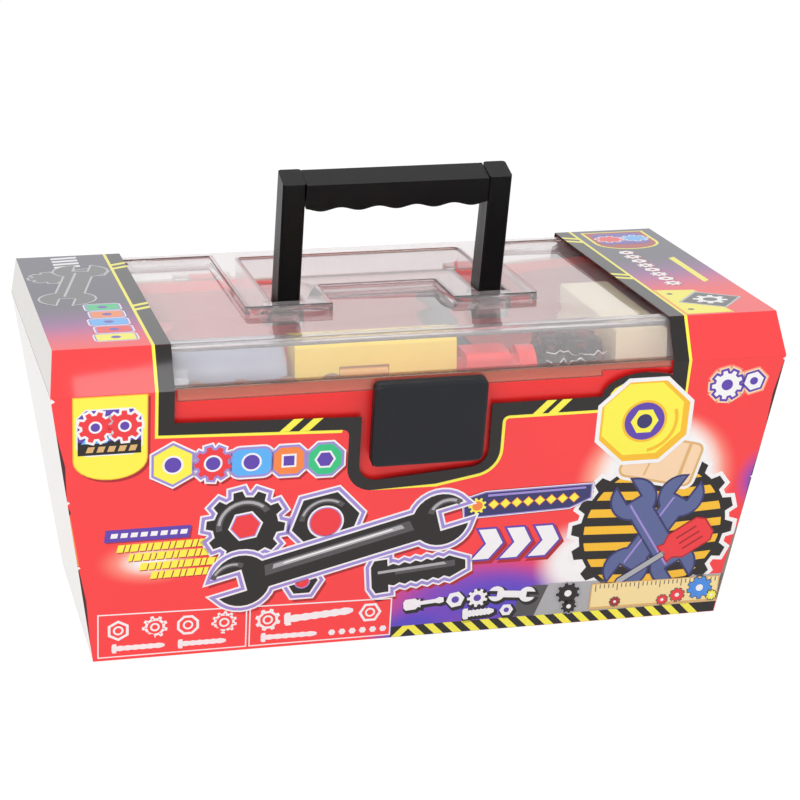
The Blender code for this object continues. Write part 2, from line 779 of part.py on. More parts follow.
def make_handle():
    """Two legs on pivots, and the grip with its finger waves between them."""
    half = HANDLE_DEPTH / 2
    empty = joint_empty("handle_joint", (0.0, PIVOT_Y, PIVOT_Z), HANDLE_TILT)
    tenon_z = LEG_RISE - GRIP_HEIGHT / 2
    for side, label in ((-1, "left"), (1, "right")):
        near, far = sorted((side * LEG_INNER, side * (LEG_INNER + LEG_WIDTH)))
        bm = bmesh.new()
        bmesh.ops.create_cube(bm, size=2)
        for vert in bm.verts:
            vert.co = Vector(
                (
                    far if vert.co.x > 0 else near,
                    math.copysign(half, vert.co.y),
                    LEG_RISE if vert.co.z > 0 else -half,
                )
            )
        toe = [e for e in bm.edges if along(e, 0) and e.verts[0].co.z < 0]
        round_edges(bm, toe, half - LEG_ROUND / 4, 6)
        long_edges = [e for e in bm.edges if along(e, 2) and e.calc_length() > LEG_RISE / 2]
        round_edges(bm, long_edges, LEG_ROUND, 2)
        leg = solid(f"handle_leg_{label}", bm, finish=BLACK_PLASTIC, group=PARTS)
        boss_start = (side * (LEG_INNER + LEG_WIDTH / 2), 0, 0)
        boss_end = (side * (WELL_HALF - PART_GAP), 0, 0)
        join(leg, rod(f"leg_boss_{label}", BOSS_RADIUS, boss_start, boss_end))
        cut(
            leg,
            rod(
                f"leg_bore_{label}",
                PIVOT_RADIUS + PART_GAP,
                (side * (LEG_INNER - OVERRUN), 0, 0),
                (side * (WELL_HALF + OVERRUN), 0, 0),
            ),
        )
        socket = sorted((side * (LEG_INNER - OVERRUN), side * (LEG_INNER + TENON_LENGTH + PART_GAP)))
        cut(
            leg,
            block(
                f"leg_socket_{label}",
                (socket[0], -TENON_HALF_DEPTH - PART_GAP, tenon_z - TENON_HALF_HEIGHT - PART_GAP),
                (socket[1], TENON_HALF_DEPTH + PART_GAP, tenon_z + TENON_HALF_HEIGHT + PART_GAP),
            ),
        )
        carry(empty, leg)
        ends = (
            side * (LEG_INNER - LID_WALL - 2 * PART_GAP - PIVOT_END),
            side * (WELL_HALF + LID_WALL + PIVOT_END),
        )
        rod(
            f"handle_pivot_{label}",
            PIVOT_RADIUS,
            (ends[0], PIVOT_Y, PIVOT_Z),
            (ends[1], PIVOT_Y, PIVOT_Z),
            finish=STEEL,
            group=PARTS,
        )
    reach = LEG_INNER - PART_GAP
    top = LEG_RISE - GRIP_SINK
    points = [(-reach, top)]
    for step in range(WAVE_STEPS + 1):
        x = -reach + 2 * reach * step / WAVE_STEPS
        wave = GRIP_WAVE * math.cos(2 * math.pi * x / GRIP_WAVE_PITCH)
        points.append((x, LEG_RISE - GRIP_HEIGHT - wave))
    points.append((reach, top))
    grip = outline("handle_grip", points, HANDLE_DEPTH, UPRIGHT, finish=BLACK_PLASTIC, group=PARTS)
    rounding = grip.modifiers.new("grip_rounding", "BEVEL")
    rounding.width = LEG_ROUND
    rounding.segments = 2
    rounding.limit_method = "ANGLE"
    rounding.angle_limit = math.radians(50)
    grip.parent = empty
    tenon = block(
        "grip_tenon",
        (-LEG_INNER - TENON_LENGTH, -TENON_HALF_DEPTH, tenon_z - TENON_HALF_HEIGHT),
        (LEG_INNER + TENON_LENGTH, TENON_HALF_DEPTH, tenon_z + TENON_HALF_HEIGHT),
    )
    tenon.parent = empty
    join(grip, tenon)


def make_latch():
    """The snap latch, its knuckles, its lip and its pin."""
    empty = joint_empty("latch_joint", LATCH_FRAME.translation, WALL_ANGLE)
    back = LATCH_STAND_OFF - LATCH_CARD_GAP
    plate_back = -LATCH_RADIUS + LATCH_PLATE
    latch = block(
        "latch",
        (-LATCH_HALF, -LATCH_RADIUS, -LATCH_RADIUS),
        (LATCH_HALF, back, LATCH_TOP),
        axis=1,
        corner=LATCH_CORNER,
        segments=4,
        face=(1, -1),
        edge=LATCH_EDGE_ROUND,
        finish=BLACK_PLASTIC,
        group=PARTS,
    )
    inner = LATCH_HALF - LATCH_WALL
    hollow = block(
        "latch_hollow",
        (-inner, plate_back, -LATCH_RADIUS - OVERRUN),
        (inner, back + OVERRUN, LATCH_TOP - LATCH_WALL),
    )
    cut(latch, hollow)
    gap = 2 * PART_GAP
    spans = (
        (-inner - LATCH_WALL / 2, -LUG_OUTER - gap),
        (-LUG_INNER + gap, LUG_INNER - gap),
        (LUG_OUTER + gap, inner + LATCH_WALL / 2),
    )
    for number, (near, far) in enumerate(spans):
        join(latch, rod(f"latch_knuckle_{number}", LATCH_RADIUS - PART_GAP / 2, (near, 0, 0), (far, 0, 0)))
    clear = LUG_HALF_HEIGHT + PART_GAP
    for side, label in ((-1, "left"), (1, "right")):
        near, far = sorted((side * (LUG_INNER - gap), side * (LUG_OUTER + gap)))
        cut(
            latch,
            rod(f"lug_room_{label}", clear, (near, 0, 0), (far, 0, 0)),
            block(f"lug_way_{label}", (near, -clear, -LATCH_RADIUS - OVERRUN), (far, back + OVERRUN, 0)),
        )
    lip_low = LATCH_TOP - LATCH_WALL - LATCH_LIP_THICKNESS
    skirt_room = lip_low * math.sin(WALL_ANGLE) - LATCH_AXIS_Y - CREASE_DEPTH / 2 + FLANGE_INSET
    skirt_face = skirt_room / math.cos(WALL_ANGLE)
    lip = block(
        "latch_lip",
        (-LATCH_LIP_WIDTH / 2, plate_back - LATCH_PLATE / 2, lip_low),
        (LATCH_LIP_WIDTH / 2, skirt_face - PART_GAP - CARD_GAP, LATCH_TOP - LATCH_WALL / 2),
    )
    join(latch, lip)
    cut(
        latch,
        rod(
            "latch_bore",
            LATCH_PIN_RADIUS + PART_GAP,
            (-inner, 0, 0),
            (inner, 0, 0),
        ),
    )
    carry(empty, latch)
    pin_half = inner - PART_GAP
    pin = rod("latch_pin", LATCH_PIN_RADIUS, (-pin_half, 0, 0), (pin_half, 0, 0), finish=STEEL, group=PARTS)
    pin.parent = empty


def make_level():
    """A toy spirit level with a vial in its front face."""
    front = TRAY_FRONT + LEVEL_FROM_FRONT
    low = (LEVEL_LEFT, front, TRAY_LEVEL)
    high = (LEVEL_LEFT + LEVEL_LENGTH, front + LEVEL_DEPTH, TRAY_LEVEL + LEVEL_HEIGHT)
    level = block("level_body", low, high, axis=0, corner=LEVEL_ROUND, finish=YELLOW_PLASTIC, group=PARTS)
    middle = TRAY_LEVEL + LEVEL_HEIGHT / 2
    vial_x = LEVEL_LEFT + LEVEL_LENGTH / 2 + VIAL_OFFSET
    half = VIAL_LENGTH / 2 + PART_GAP
    depth = 2 * VIAL_RADIUS + PART_GAP
    cut(
        level,
        block(
            "vial_recess",
            (vial_x - half, front - OVERRUN, middle - VIAL_RADIUS - PART_GAP),
            (vial_x + half, front + depth, middle + VIAL_RADIUS + PART_GAP),
        ),
    )
    rod(
        "level_vial",
        VIAL_RADIUS,
        (vial_x - VIAL_LENGTH / 2, front + VIAL_RADIUS, middle),
        (vial_x + VIAL_LENGTH / 2, front + VIAL_RADIUS, middle),
        finish=VIAL_AMBER,
        group=PARTS,
    )


def make_hammer():
    """A toy claw hammer: red head along X, dark handle running back."""
    centre = TRAY_LEVEL + HAMMER_FACE_RADIUS
    middle_y = TRAY_FRONT + HAMMER_FROM_FRONT
    low = (HAMMER_X - HAMMER_BLOCK_HALF, middle_y - HAMMER_CHEEK, centre - HAMMER_CHEEK)
    high = (HAMMER_X + HAMMER_BLOCK_HALF, middle_y + HAMMER_CHEEK, centre + HAMMER_CHEEK)
    head = block("hammer_head", low, high, axis=0, corner=HAMMER_ROUND, finish=RED_PLASTIC, group=PARTS)
    right = HAMMER_X + HAMMER_BLOCK_HALF
    neck_end = right + HAMMER_NECK_LENGTH
    face_end = neck_end + HAMMER_FACE_LENGTH
    sink = HAMMER_BLOCK_HALF / 2
    join(
        head,
        rod(
            "hammer_neck",
            HAMMER_NECK_RADIUS,
            (right - sink, middle_y, centre),
            (neck_end + sink, middle_y, centre),
        ),
        rod("hammer_face", HAMMER_FACE_RADIUS, (neck_end, middle_y, centre), (face_end, middle_y, centre)),
        rod(
            "hammer_claw",
            HAMMER_CLAW_ROOT,
            (low[0] + sink, middle_y, centre),
            (low[0] - HAMMER_CLAW_LENGTH, middle_y, centre),
            tip=HAMMER_CLAW_TIP,
        ),
    )
    back = middle_y + HAMMER_CHEEK
    cut(
        head,
        rod(
            "hammer_eye",
            HAMMER_TANG + PART_GAP,
            (HAMMER_X, middle_y, centre),
            (HAMMER_X, back + OVERRUN, centre),
        ),
    )
    radius = HAMMER_HANDLE_RADIUS
    shoulder = HAMMER_CHEEK + PART_GAP
    profile = [
        (PART_GAP * 2, HAMMER_TANG),
        (shoulder, HAMMER_TANG),
        (shoulder, radius * HAMMER_SHOULDER_SHARE),
    ]
    profile += [(HAMMER_HANDLE_LENGTH * far, radius * wide) for far, wide in HAMMER_HANDLE_SHARES]
    start = (HAMMER_X, middle_y, centre)
    turned("hammer_handle", profile, start, (0, 1, 0), finish=DARK_PLASTIC, group=PARTS)


def make_screwdriver():
    """A toy screwdriver: smoky blue handle and grey shaft, lying along X."""
    centre = TRAY_LEVEL + DRIVER_RADIUS
    middle_y = TRAY_FRONT + DRIVER_FROM_FRONT
    right = ROW_LEFT + DRIVER_LENGTH
    left = right - DRIVER_HANDLE_LENGTH
    profile = [(DRIVER_HANDLE_LENGTH * far, DRIVER_RADIUS * wide) for far, wide in DRIVER_SHARES]
    start = (right, middle_y, centre)
    handle = turned("screwdriver_handle", profile, start, (-1, 0, 0), finish=SMOKE_PLASTIC, group=PARTS)
    cut(
        handle,
        rod(
            "screwdriver_socket",
            DRIVER_SHAFT_RADIUS + PART_GAP,
            (left + DRIVER_SOCKET + PART_GAP, middle_y, centre),
            (left - OVERRUN, middle_y, centre),
        ),
    )
    rod(
        "screwdriver_shaft",
        DRIVER_SHAFT_RADIUS,
        (left + DRIVER_SOCKET, middle_y, centre),
        (ROW_LEFT, middle_y, centre),
        finish=GREY_PLASTIC,
        group=PARTS,
    )


def make_bolts():
    """A row of toy bolts standing along the front of the tray."""
    neck = BOLT_TOP - BOLT_HEAD_HEIGHT
    profile = [(0.0, BOLT_SHANK_RADIUS), (neck, BOLT_SHANK_RADIUS)]
    profile += [(neck + BOLT_HEAD_HEIGHT * high, BOLT_HEAD_RADIUS * wide) for high, wide in BOLT_CROWN_SHARES]
    for number in range(BOLT_COUNT):
        place = (ROW_LEFT + BOLT_FROM_LEFT + number * BOLT_PITCH, TRAY_FRONT + BOLT_FROM_FRONT, TRAY_LEVEL)
        turned(f"toy_bolt_{number + 1}", profile, place, (0, 0, 1), finish=TAN_PLASTIC, group=PARTS)


def make_plank():
    """A cream practice plank."""
    front = TRAY_FRONT + PLANK_FROM_FRONT
    block(
        "plank",
        (PLANK_LEFT, front, TRAY_LEVEL),
        (PLANK_LEFT + PLANK_WIDTH, front + PLANK_LENGTH, TRAY_LEVEL + PLANK_HEIGHT),
        axis=1,
        corner=PLANK_ROUND,
        segments=2,
        finish=CREAM_PLASTIC,
        group=PARTS,
    )


def make_bag():
    """A soft clear bag of small pieces."""
    front = TRAY_FRONT + BAG_FROM_FRONT
    block(
        "parts_bag",
        (BAG_LEFT, front, TRAY_LEVEL),
        (BAG_LEFT + BAG_WIDTH, front + BAG_DEPTH, TRAY_LEVEL + BAG_HEIGHT),
        axis=0,
        corner=BAG_ROUND,
        face=(2, 1),
        edge=BAG_EDGE_ROUND,
        finish=CLEAR_PLASTIC,
        group=PARTS,
    )


def make_spanner():
    """A flat toy spanner lying on the tray's floor, open jaw at the front, ring at the back."""
    radius, jaw, waist = SPANNER_HEAD_RADIUS, SPANNER_JAW / 2, SPANNER_WAIST / 2
    reach = SPANNER_LENGTH / 2 - radius
    notch = math.degrees(math.asin(jaw / radius))
    shoulder = math.degrees(math.asin(waist / radius))
    front, back = (0.0, -reach), (0.0, reach)
    points = arc(front, radius, 270 + notch, 450 - shoulder, steps=JAW_STEPS)
    points += arc(back, radius, 270 + shoulder, 630 - shoulder, steps=RING_STEPS)
    points += arc(front, radius, 90 + shoulder, 270 - notch, steps=JAW_STEPS)
    points += [(-jaw, -reach), (jaw, -reach)]
    spanner_x = TRAY_HALF_LENGTH * SPANNER_X_SHARE
    lie = Matrix.Translation((spanner_x, SPANNER_Y, TRAY_LEVEL + SPANNER_THICKNESS / 2))
    spanner = outline("spanner", points, SPANNER_THICKNESS, lie, finish=RED_PLASTIC, group=PARTS)
    low = (spanner_x, SPANNER_Y + reach, TRAY_LEVEL - OVERRUN)
    high = (spanner_x, SPANNER_Y + reach, TRAY_LEVEL + OVERRUN)
    cut(spanner, rod("spanner_ring_bore", SPANNER_RING_BORE, low, high))


clear_scene()
PARTS = collection(NAME)
CUTTERS = collection("cutters")
LATCH_FRAME = Matrix.Translation((0.0, LATCH_AXIS_Y, LATCH_AXIS_Z)) @ Matrix.Rotation(WALL_ANGLE, 4, "X")

CARD_PRINT = material("printed_card", (0.80, 0.03, 0.03), 0.30)
RED_PLASTIC = material("red_plastic", (0.78, 0.02, 0.02), 0.32)
CLEAR_PLASTIC = material("clear_plastic", (0.93, 0.93, 0.95), 0.06, alpha=0.35)
BLACK_PLASTIC = material("black_plastic", (0.012, 0.012, 0.014), 0.38)
STEEL = material("steel", (0.62, 0.62, 0.64), 0.30, metallic=1.0)
YELLOW_PLASTIC = material("yellow_plastic", (0.88, 0.55, 0.03), 0.35)
VIAL_AMBER = material("vial_amber", (0.72, 0.36, 0.03), 0.10)
DARK_PLASTIC = material("dark_plastic", (0.05, 0.045, 0.05), 0.45)
SMOKE_PLASTIC = material("smoke_plastic", (0.42, 0.46, 0.56), 0.20)
GREY_PLASTIC = material("grey_plastic", (0.45, 0.45, 0.47), 0.35)
TAN_PLASTIC = material("tan_plastic", (0.42, 0.24, 0.12), 0.40)
CREAM_PLASTIC = material("cream_plastic", (0.78, 0.68, 0.48), 0.50)

make_sleeve()
make_tub()
make_tray()
make_lid()
make_hinge_pins()
make_handle()
make_latch()
make_level()
make_hammer()
make_screwdriver()
make_bolts()
make_plank()
make_bag()
make_spanner()
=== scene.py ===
"""The looks of a child's carry tool box: red tub, clear lid, black handle and latch, printed card sleeve.

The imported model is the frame. Its solids get their finishes here, the moulded ones as copies with
whole faces and smooth round parts. The print on the card is thin inked shapes on the sleeve's faces,
laid out in millimetres along X and along the height or the depth of each face.
"""

import json
import math
import random

import bmesh
import bpy
from mathutils import Matrix, Vector, noise


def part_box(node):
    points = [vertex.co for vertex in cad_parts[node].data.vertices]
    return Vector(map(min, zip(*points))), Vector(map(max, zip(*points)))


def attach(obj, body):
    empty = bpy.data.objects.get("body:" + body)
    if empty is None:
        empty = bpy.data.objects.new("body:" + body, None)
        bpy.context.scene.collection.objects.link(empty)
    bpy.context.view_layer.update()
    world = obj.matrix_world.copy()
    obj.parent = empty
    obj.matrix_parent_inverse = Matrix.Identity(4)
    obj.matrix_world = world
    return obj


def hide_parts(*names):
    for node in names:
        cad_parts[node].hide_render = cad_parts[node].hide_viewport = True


MM = 0.001

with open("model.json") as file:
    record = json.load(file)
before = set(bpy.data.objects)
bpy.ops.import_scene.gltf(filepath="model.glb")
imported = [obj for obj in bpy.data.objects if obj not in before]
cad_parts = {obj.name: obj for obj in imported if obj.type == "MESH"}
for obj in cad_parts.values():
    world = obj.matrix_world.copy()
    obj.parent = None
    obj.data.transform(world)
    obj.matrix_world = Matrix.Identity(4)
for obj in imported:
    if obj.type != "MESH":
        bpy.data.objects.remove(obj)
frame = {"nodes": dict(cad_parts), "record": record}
NODES = frame["nodes"]
BODY_OF = {node: body for body, nodes in frame["record"]["behaviour"]["bodies"].items() for node in nodes}
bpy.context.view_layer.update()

# Camera, as the photograph was taken
CAMERA_AZIMUTH = -0.2279
CAMERA_ELEVATION = 0.2780
CAMERA_ROLL = 0.0022
CAMERA_DISTANCE = 1.2157
CAMERA_TARGET = Vector((0.0096, 0.0, 0.0943))
CAMERA_LENS = 114.53
CAMERA_SENSOR = 36.0

# Light: the world, a soft key from the upper left front, a fill from the right, and a small
# strip that glints on the left shoulder. Each lamp: name, place, what it looks at, size, power
WORLD_LIGHT = 0.70
LAMPS = (
    ("key", (-0.75, -1.15, 1.35), CAMERA_TARGET, (0.9, 0.9), 12.0),
    ("fill", (1.2, -1.0, 0.7), CAMERA_TARGET, (1.0, 1.0), 3.0),
    ("gloss", (0.015, -1.13, 0.82), Vector((-0.135, -0.095, 0.143)), (0.10, 0.16), 0.19),
)

# Ink lies this much higher on the card with each layer
INK_FOOT = 0.000004
INK_STEP = 0.000022
MERGE = 0.000002


def level_half(node, lowest):
    """Height, half length and half depth of a node at its lowest or highest level."""
    verts = [v.co for v in NODES[node].data.vertices]
    level = min(v.z for v in verts) if lowest else max(v.z for v in verts)
    ring = [v for v in verts if abs(v.z - level) < MM / 10]
    return level, max(v.x for v in ring), -min(v.y for v in ring)


BASE_Z, BASE_X, BASE_Y = level_half("sleeve_lower", True)
RIM_Z, RIM_X, RIM_Y = level_half("sleeve_lower", False)
BAND_Z, BAND_X, BAND_Y = level_half("sleeve_band_right", True)
TOP_Z, _, TOP_Y = level_half("sleeve_band_right", False)
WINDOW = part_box("sleeve_band_right")[0].x
CREASE_Z = (RIM_Z + BAND_Z) / 2


# Finishes

NOISE_MIDDLE = 0.5
EDGE_SAMPLES = 4
SPECK_RANGE = (0.35, 0.62)
GRAIN_BUMP = 0.0004
PLASTIC_COAT_ROUGHNESS = 0.08

# The card's varnished surface
CARD_SURFACE = {
    "roughness": 0.42, "mottle": 0.05, "grain": 0.05, "grain_scale": 1800.0,
    "wave": 1.0, "wave_scale": 22.0, "bump": 0.0010,
}
COAT_SHARE = 0.9
VARNISH = {"Specular IOR Level": 0.0, "Coat Weight": COAT_SHARE, "Coat Roughness": 0.035}
INK_MOTTLE_SCALE = 60.0
CARD_MOTTLE_SCALE = 30.0

RED_INK = (0.94, 0.046, 0.050)
VIOLET_INK = (0.30, 0.055, 0.48)
BLUE_VIOLET_INK = (0.10, 0.055, 0.56)
TOP_VIOLET_INK = (0.36, 0.075, 0.36)
HAZE_INK = (0.090, 0.085, 0.125)
WHITE_INK = (0.92, 0.91, 0.92)
PEACH_INK = (0.97, 0.56, 0.40)
# Cut and inner faces: raw card colour, darkened further as painted shade under the bands
SHADED_INNER_CARD = (0.10, 0.055, 0.050)
PALE_END = (0.59, 0.55, 0.50)

# Glows on the front panel, the lowest first: place and reach in millimetres, share of full ink, ink
FRONT_GLOWS = (
    (30, 12, 60, 32, 0.45, VIOLET_INK),
    (40, 16, 50, 20, 0.20, BLUE_VIOLET_INK),
    (0, 4, 26, 14, 0.30, BLUE_VIOLET_INK),
    (76, 33, 22, 24, 0.35, WHITE_INK),
    (162, 70, 15, 19, 0.15, BLUE_VIOLET_INK),
    (110, 74, 40, 38, 0.60, PEACH_INK),
    (111, 74, 33, 36, 0.66, WHITE_INK),
    (-122, 50, 26, 13, 0.05, PEACH_INK),
    (-122, 50, 16, 8, 0.20, WHITE_INK),
)
GLOW_DEPTH = 2 * RIM_Y / 3

# The bands' tops turn violet, then dark, towards the back, along this direction
TOP_BLEND_WAY = (-0.14, 1.0, 0.0)
TOP_VIOLET_RANGE = (-0.072, -0.016)
TOP_HAZE_RANGE = (-0.050, 0.012)
END_FACING = 0.9

# The lid: its edges darkened as painted shade, and the skirt painted browner below its foot's level as
# painted shade
LID_EDGE_SHADE_REACH = 0.0012
LID_EDGE_SHADE_END = 0.14
FOOT_TOP = RIM_Z + 0.0010
FOOT_FADE = 0.0006
CLEAR_BUMP = 0.0006


def feed(tree, socket, value):
    """Link a socket to another one, or give it a plain value or colour."""
    if isinstance(value, bpy.types.NodeSocket):
        tree.links.new(value, socket)
    elif value is not None:
        socket.default_value = (*value, 1.0) if socket.type == "RGBA" else value


def feed_all(tree, node, fed):
    """Feed a node's inputs, by their names or in their order."""
    for key, value in fed.items() if isinstance(fed, dict) else enumerate(fed):
        feed(tree, node.inputs[key], value)


def add_node(tree, kind, fed=(), **settings):
    """A shader node with its settings and what its inputs are fed with."""
    node = tree.nodes.new(f"ShaderNode{kind}")
    for label, value in settings.items():
        setattr(node, label, value)
    feed_all(tree, node, fed)
    return node


def new_group(name, inputs, outputs):
    """An empty shader node group with named sockets, what it is given and what it returns."""
    group = bpy.data.node_groups.new(name, "ShaderNodeTree")
    for label, value in inputs.items():
        kind = "Float" if isinstance(value, float) else "Color" if value and len(value) == 4 else "Vector"
        socket = group.interface.new_socket(name=label, in_out="INPUT", socket_type=f"NodeSocket{kind}")
        if value is not None:
            socket.default_value = value
    for label, kind in outputs.items():
        group.interface.new_socket(name=label, in_out="OUTPUT", socket_type=f"NodeSocket{kind}")
    return group, group.nodes.new("NodeGroupInput").outputs, group.nodes.new("NodeGroupOutput").inputs


def use_group(tree, group, **values):
    """A node that runs a group, its inputs given by their names."""
    fed = {label.replace("_", " ").title(): value for label, value in values.items()}
    return add_node(tree, "Group", fed, node_tree=group)


def math_node(tree, operation, *values, clamp=False):
    """A number worked out from others."""
    return add_node(tree, "Math", values, operation=operation, use_clamp=clamp).outputs[0]


def vector_node(tree, operation, *values):
    """A vector worked out from others, or the number of a length or a dot product."""
    node = add_node(tree, "VectorMath", values, operation=operation)
    return node.outputs["Value" if operation in ("LENGTH", "DOT_PRODUCT") else "Vector"]


def axis_node(tree, vector, axis):
    """One number of a vector."""
    return add_node(tree, "SeparateXYZ", [vector]).outputs[axis]


def range_node(tree, value, low, high, bottom=0.0, top=1.0, blend="SMOOTHSTEP"):
    """Maps a value from one range to another, held at its ends."""
    fed = {"Value": value, "From Min": low, "From Max": high, "To Min": bottom, "To Max": top}
    return add_node(tree, "MapRange", fed, interpolation_type=blend).outputs["Result"]


def mix_colour(tree, mask, first, second):
    """One colour turning to another with a mask."""
    return add_node(tree, "Mix", {0: mask, 6: first, 7: second}, data_type="RGBA").outputs[2]


def noise_node(tree, place, scale, detail=2.0):
    """A noise value from 0 to 1 over the surface."""
    return add_node(tree, "TexNoise", {"Vector": place, "Scale": scale, "Detail": detail}).outputs["Fac"]


def mix_shaders(tree, mask, first, second):
    """Show one shader turning to another with a mask."""
    mix = add_node(tree, "MixShader", (mask, first.outputs[0], second.outputs[0]))
    tree.links.new(mix.outputs[0], tree.nodes["Material Output"].inputs["Surface"])


def use_bump(tree, shader, height, distance, strength=1.0):
    """Bump a shader's normal by a height."""
    bump = add_node(tree, "Bump", {"Distance": distance, "Strength": strength, "Height": height})
    tree.links.new(bump.outputs["Normal"], shader.inputs["Normal"])


def make_surface_group():
    """Mottled colour, uneven roughness and fine grain that every moulded or printed surface has."""
    inputs = {
        "Place": None, "Colour": (0.5, 0.5, 0.5, 1.0), "Mottle": 0.04, "Mottle Scale": 40.0,
        "Roughness": 0.4, "Unevenness": 0.06, "Grain Scale": 3000.0, "Grain": 0.1,
        "Wave": 0.0, "Wave Scale": 18.0,
    }
    outputs = {"Colour": "Color", "Roughness": "Float", "Height": "Float"}
    group, given, result = new_group("surface detail", inputs, outputs)

    def noise_at(label, detail):
        value = noise_node(group, given["Place"], given[label], detail)
        return math_node(group, "SUBTRACT", value, NOISE_MIDDLE)

    broad = noise_at("Mottle Scale", 3.0)
    fine = noise_at("Grain Scale", 2.0)
    wave = noise_at("Wave Scale", 1.0)
    shade = math_node(group, "MULTIPLY_ADD", broad, given["Mottle"], 1.0)
    scaled = add_node(group, "VectorMath", {0: given["Colour"], "Scale": shade}, operation="SCALE")
    rough = math_node(group, "MULTIPLY", broad, given["Unevenness"])
    rough = math_node(group, "ADD", rough, given["Roughness"], clamp=True)
    grain = math_node(group, "MULTIPLY", fine, given["Grain"])
    height = math_node(group, "ADD", grain, math_node(group, "MULTIPLY", wave, given["Wave"]))
    for label, value in (("Colour", scaled.outputs[0]), ("Roughness", rough), ("Height", height)):
        group.links.new(value, result[label])
    return group


def make_glow_group():
    """A soft round patch of ink: 1 at its centre, 0 past its reach along each axis."""
    inputs = {"Place": None, "Centre": (0.0, 0.0, 0.0), "Reach": (1.0, 1.0, 1.0), "Core": 0.0}
    group, given, result = new_group("ink glow", inputs, {"Mask": "Float"})
    away = vector_node(group, "SUBTRACT", given["Place"], given["Centre"])
    away = vector_node(group, "LENGTH", vector_node(group, "DIVIDE", away, given["Reach"]))
    group.links.new(range_node(group, away, given["Core"], 1.0, 1.0, 0.0), result["Mask"])
    return group


def make_wear_and_edge_shade_group():
    """Rubbed edges, and the lid's painted edge shade: a mask that is 1 where the surface turns sharply."""
    inputs = {
        "Place": None, "Reach": 0.0004, "Start": 0.02, "End": 0.25, "Breakup Scale": 500.0, "Whole": 0.0,
    }
    group, given, result = new_group("edge wear and painted edge shade", inputs, {"Mask": "Float"})
    soft = add_node(group, "Bevel", {"Radius": given["Reach"]}, samples=EDGE_SAMPLES).outputs["Normal"]
    plain = add_node(group, "NewGeometry").outputs["Normal"]
    facing = vector_node(group, "DOT_PRODUCT", soft, plain)
    turn = math_node(group, "SUBTRACT", 1.0, facing)
    mask = range_node(group, turn, given["Start"], given["End"])
    speck = noise_node(group, given["Place"], given["Breakup Scale"])
    broken = math_node(group, "MAXIMUM", range_node(group, speck, *SPECK_RANGE), given["Whole"])
    group.links.new(math_node(group, "MULTIPLY", mask, broken), result["Mask"])
    return group


SURFACE = make_surface_group()
GLOW = make_glow_group()
WEAR_AND_EDGE_SHADE = make_wear_and_edge_shade_group()


def start_material(name):
    """A new material: its tree, its shader and the object coordinates."""
    made = bpy.data.materials.new(name)
    made.use_nodes = True
    tree = made.node_tree
    place = add_node(tree, "TexCoord").outputs["Object"]
    return made, tree, tree.nodes["Principled BSDF"], place


def use_surface(tree, shader, bump=GRAIN_BUMP, **values):
    """Feed a shader from the surface detail group."""
    node = use_group(tree, SURFACE, **values)
    looks = {"Base Color": node.outputs["Colour"], "Roughness": node.outputs["Roughness"]}
    feed_all(tree, shader, looks)
    use_bump(tree, shader, node.outputs["Height"], bump)


def moulded(name, colour, roughness, worn=None, wear=0.5, coat=0.0, gloss=0.5, **values):
    """Moulded plastic, its edges rubbed towards the `worn` colour."""
    made, tree, shader, place = start_material(name)
    if worn:
        edge = use_group(tree, WEAR_AND_EDGE_SHADE, place=place)
        share = math_node(tree, "MULTIPLY", edge.outputs["Mask"], wear)
        colour = mix_colour(tree, share, colour, worn)
    looks = {"grain": 0.10, "mottle": 0.05, **values}
    use_surface(tree, shader, place=place, colour=colour, roughness=roughness, **looks)
    coating = {"Coat Weight": coat, "Coat Roughness": PLASTIC_COAT_ROUGHNESS}
    feed_all(tree, shader, {"Specular IOR Level": gloss, **coating})
    return made


def printed(name, colour):
    """Varnished ink on card."""
    made, tree, shader, place = start_material(name)
    use_surface(tree, shader, place=place, colour=colour, mottle_scale=INK_MOTTLE_SCALE, **CARD_SURFACE)
    feed_all(tree, shader, VARNISH)
    return made


def face_glow(tree, place, x, height, reach_x, reach_height, core):
    """A glow on the front panel, its place and reach in millimetres."""
    y = -(BASE_Y + (RIM_Y - BASE_Y) * height * MM / CREASE_Z)
    centre = (x * MM, y, height * MM)
    reach = (reach_x * MM, GLOW_DEPTH, reach_height * MM)
    return use_group(tree, GLOW, place=place, centre=centre, reach=reach, core=core).outputs["Mask"]


def make_card():
    """The sleeve: red print with purple and white glows, pale ends, and cut and inner faces in a dark card
    colour that is partly painted shade.
    """
    made, tree, shader, place = start_material("printed_card_sleeve")
    normal = add_node(tree, "TexCoord").outputs["Normal"]
    colour = RED_INK
    for *glow, ink in FRONT_GLOWS:
        colour = mix_colour(tree, face_glow(tree, place, *glow), colour, ink)
    depth = vector_node(tree, "DOT_PRODUCT", place, TOP_BLEND_WAY)
    back = range_node(tree, depth, *TOP_VIOLET_RANGE)
    haze = range_node(tree, depth, *TOP_HAZE_RANGE)
    top = math_node(tree, "GREATER_THAN", axis_node(tree, place, "Z"), TOP_Z - MM / 10)
    top_colour = mix_colour(tree, back, RED_INK, TOP_VIOLET_INK)
    top_colour = mix_colour(tree, haze, top_colour, HAZE_INK)
    colour = mix_colour(tree, top, colour, top_colour)
    sideways = math_node(tree, "ABSOLUTE", axis_node(tree, normal, "X"))
    end = math_node(tree, "GREATER_THAN", sideways, END_FACING)
    colour = mix_colour(tree, end, colour, PALE_END)
    # Cut and inner faces take the dark card colour, partly painted shade
    from_rim = vector_node(tree, "SUBTRACT", place, (0.0, 0.0, CREASE_Z))
    inside = math_node(tree, "LESS_THAN", vector_node(tree, "DOT_PRODUCT", normal, from_rim), 0.0)
    colour = mix_colour(tree, inside, colour, SHADED_INNER_CARD)
    use_surface(tree, shader, place=place, colour=colour, mottle_scale=CARD_MOTTLE_SCALE, **CARD_SURFACE)
    feed_all(tree, shader, VARNISH)
    varnish = range_node(tree, inside, 0.0, 1.0, COAT_SHARE, 0.0, "LINEAR")
    feed(tree, shader.inputs["Coat Weight"], varnish)
    return made


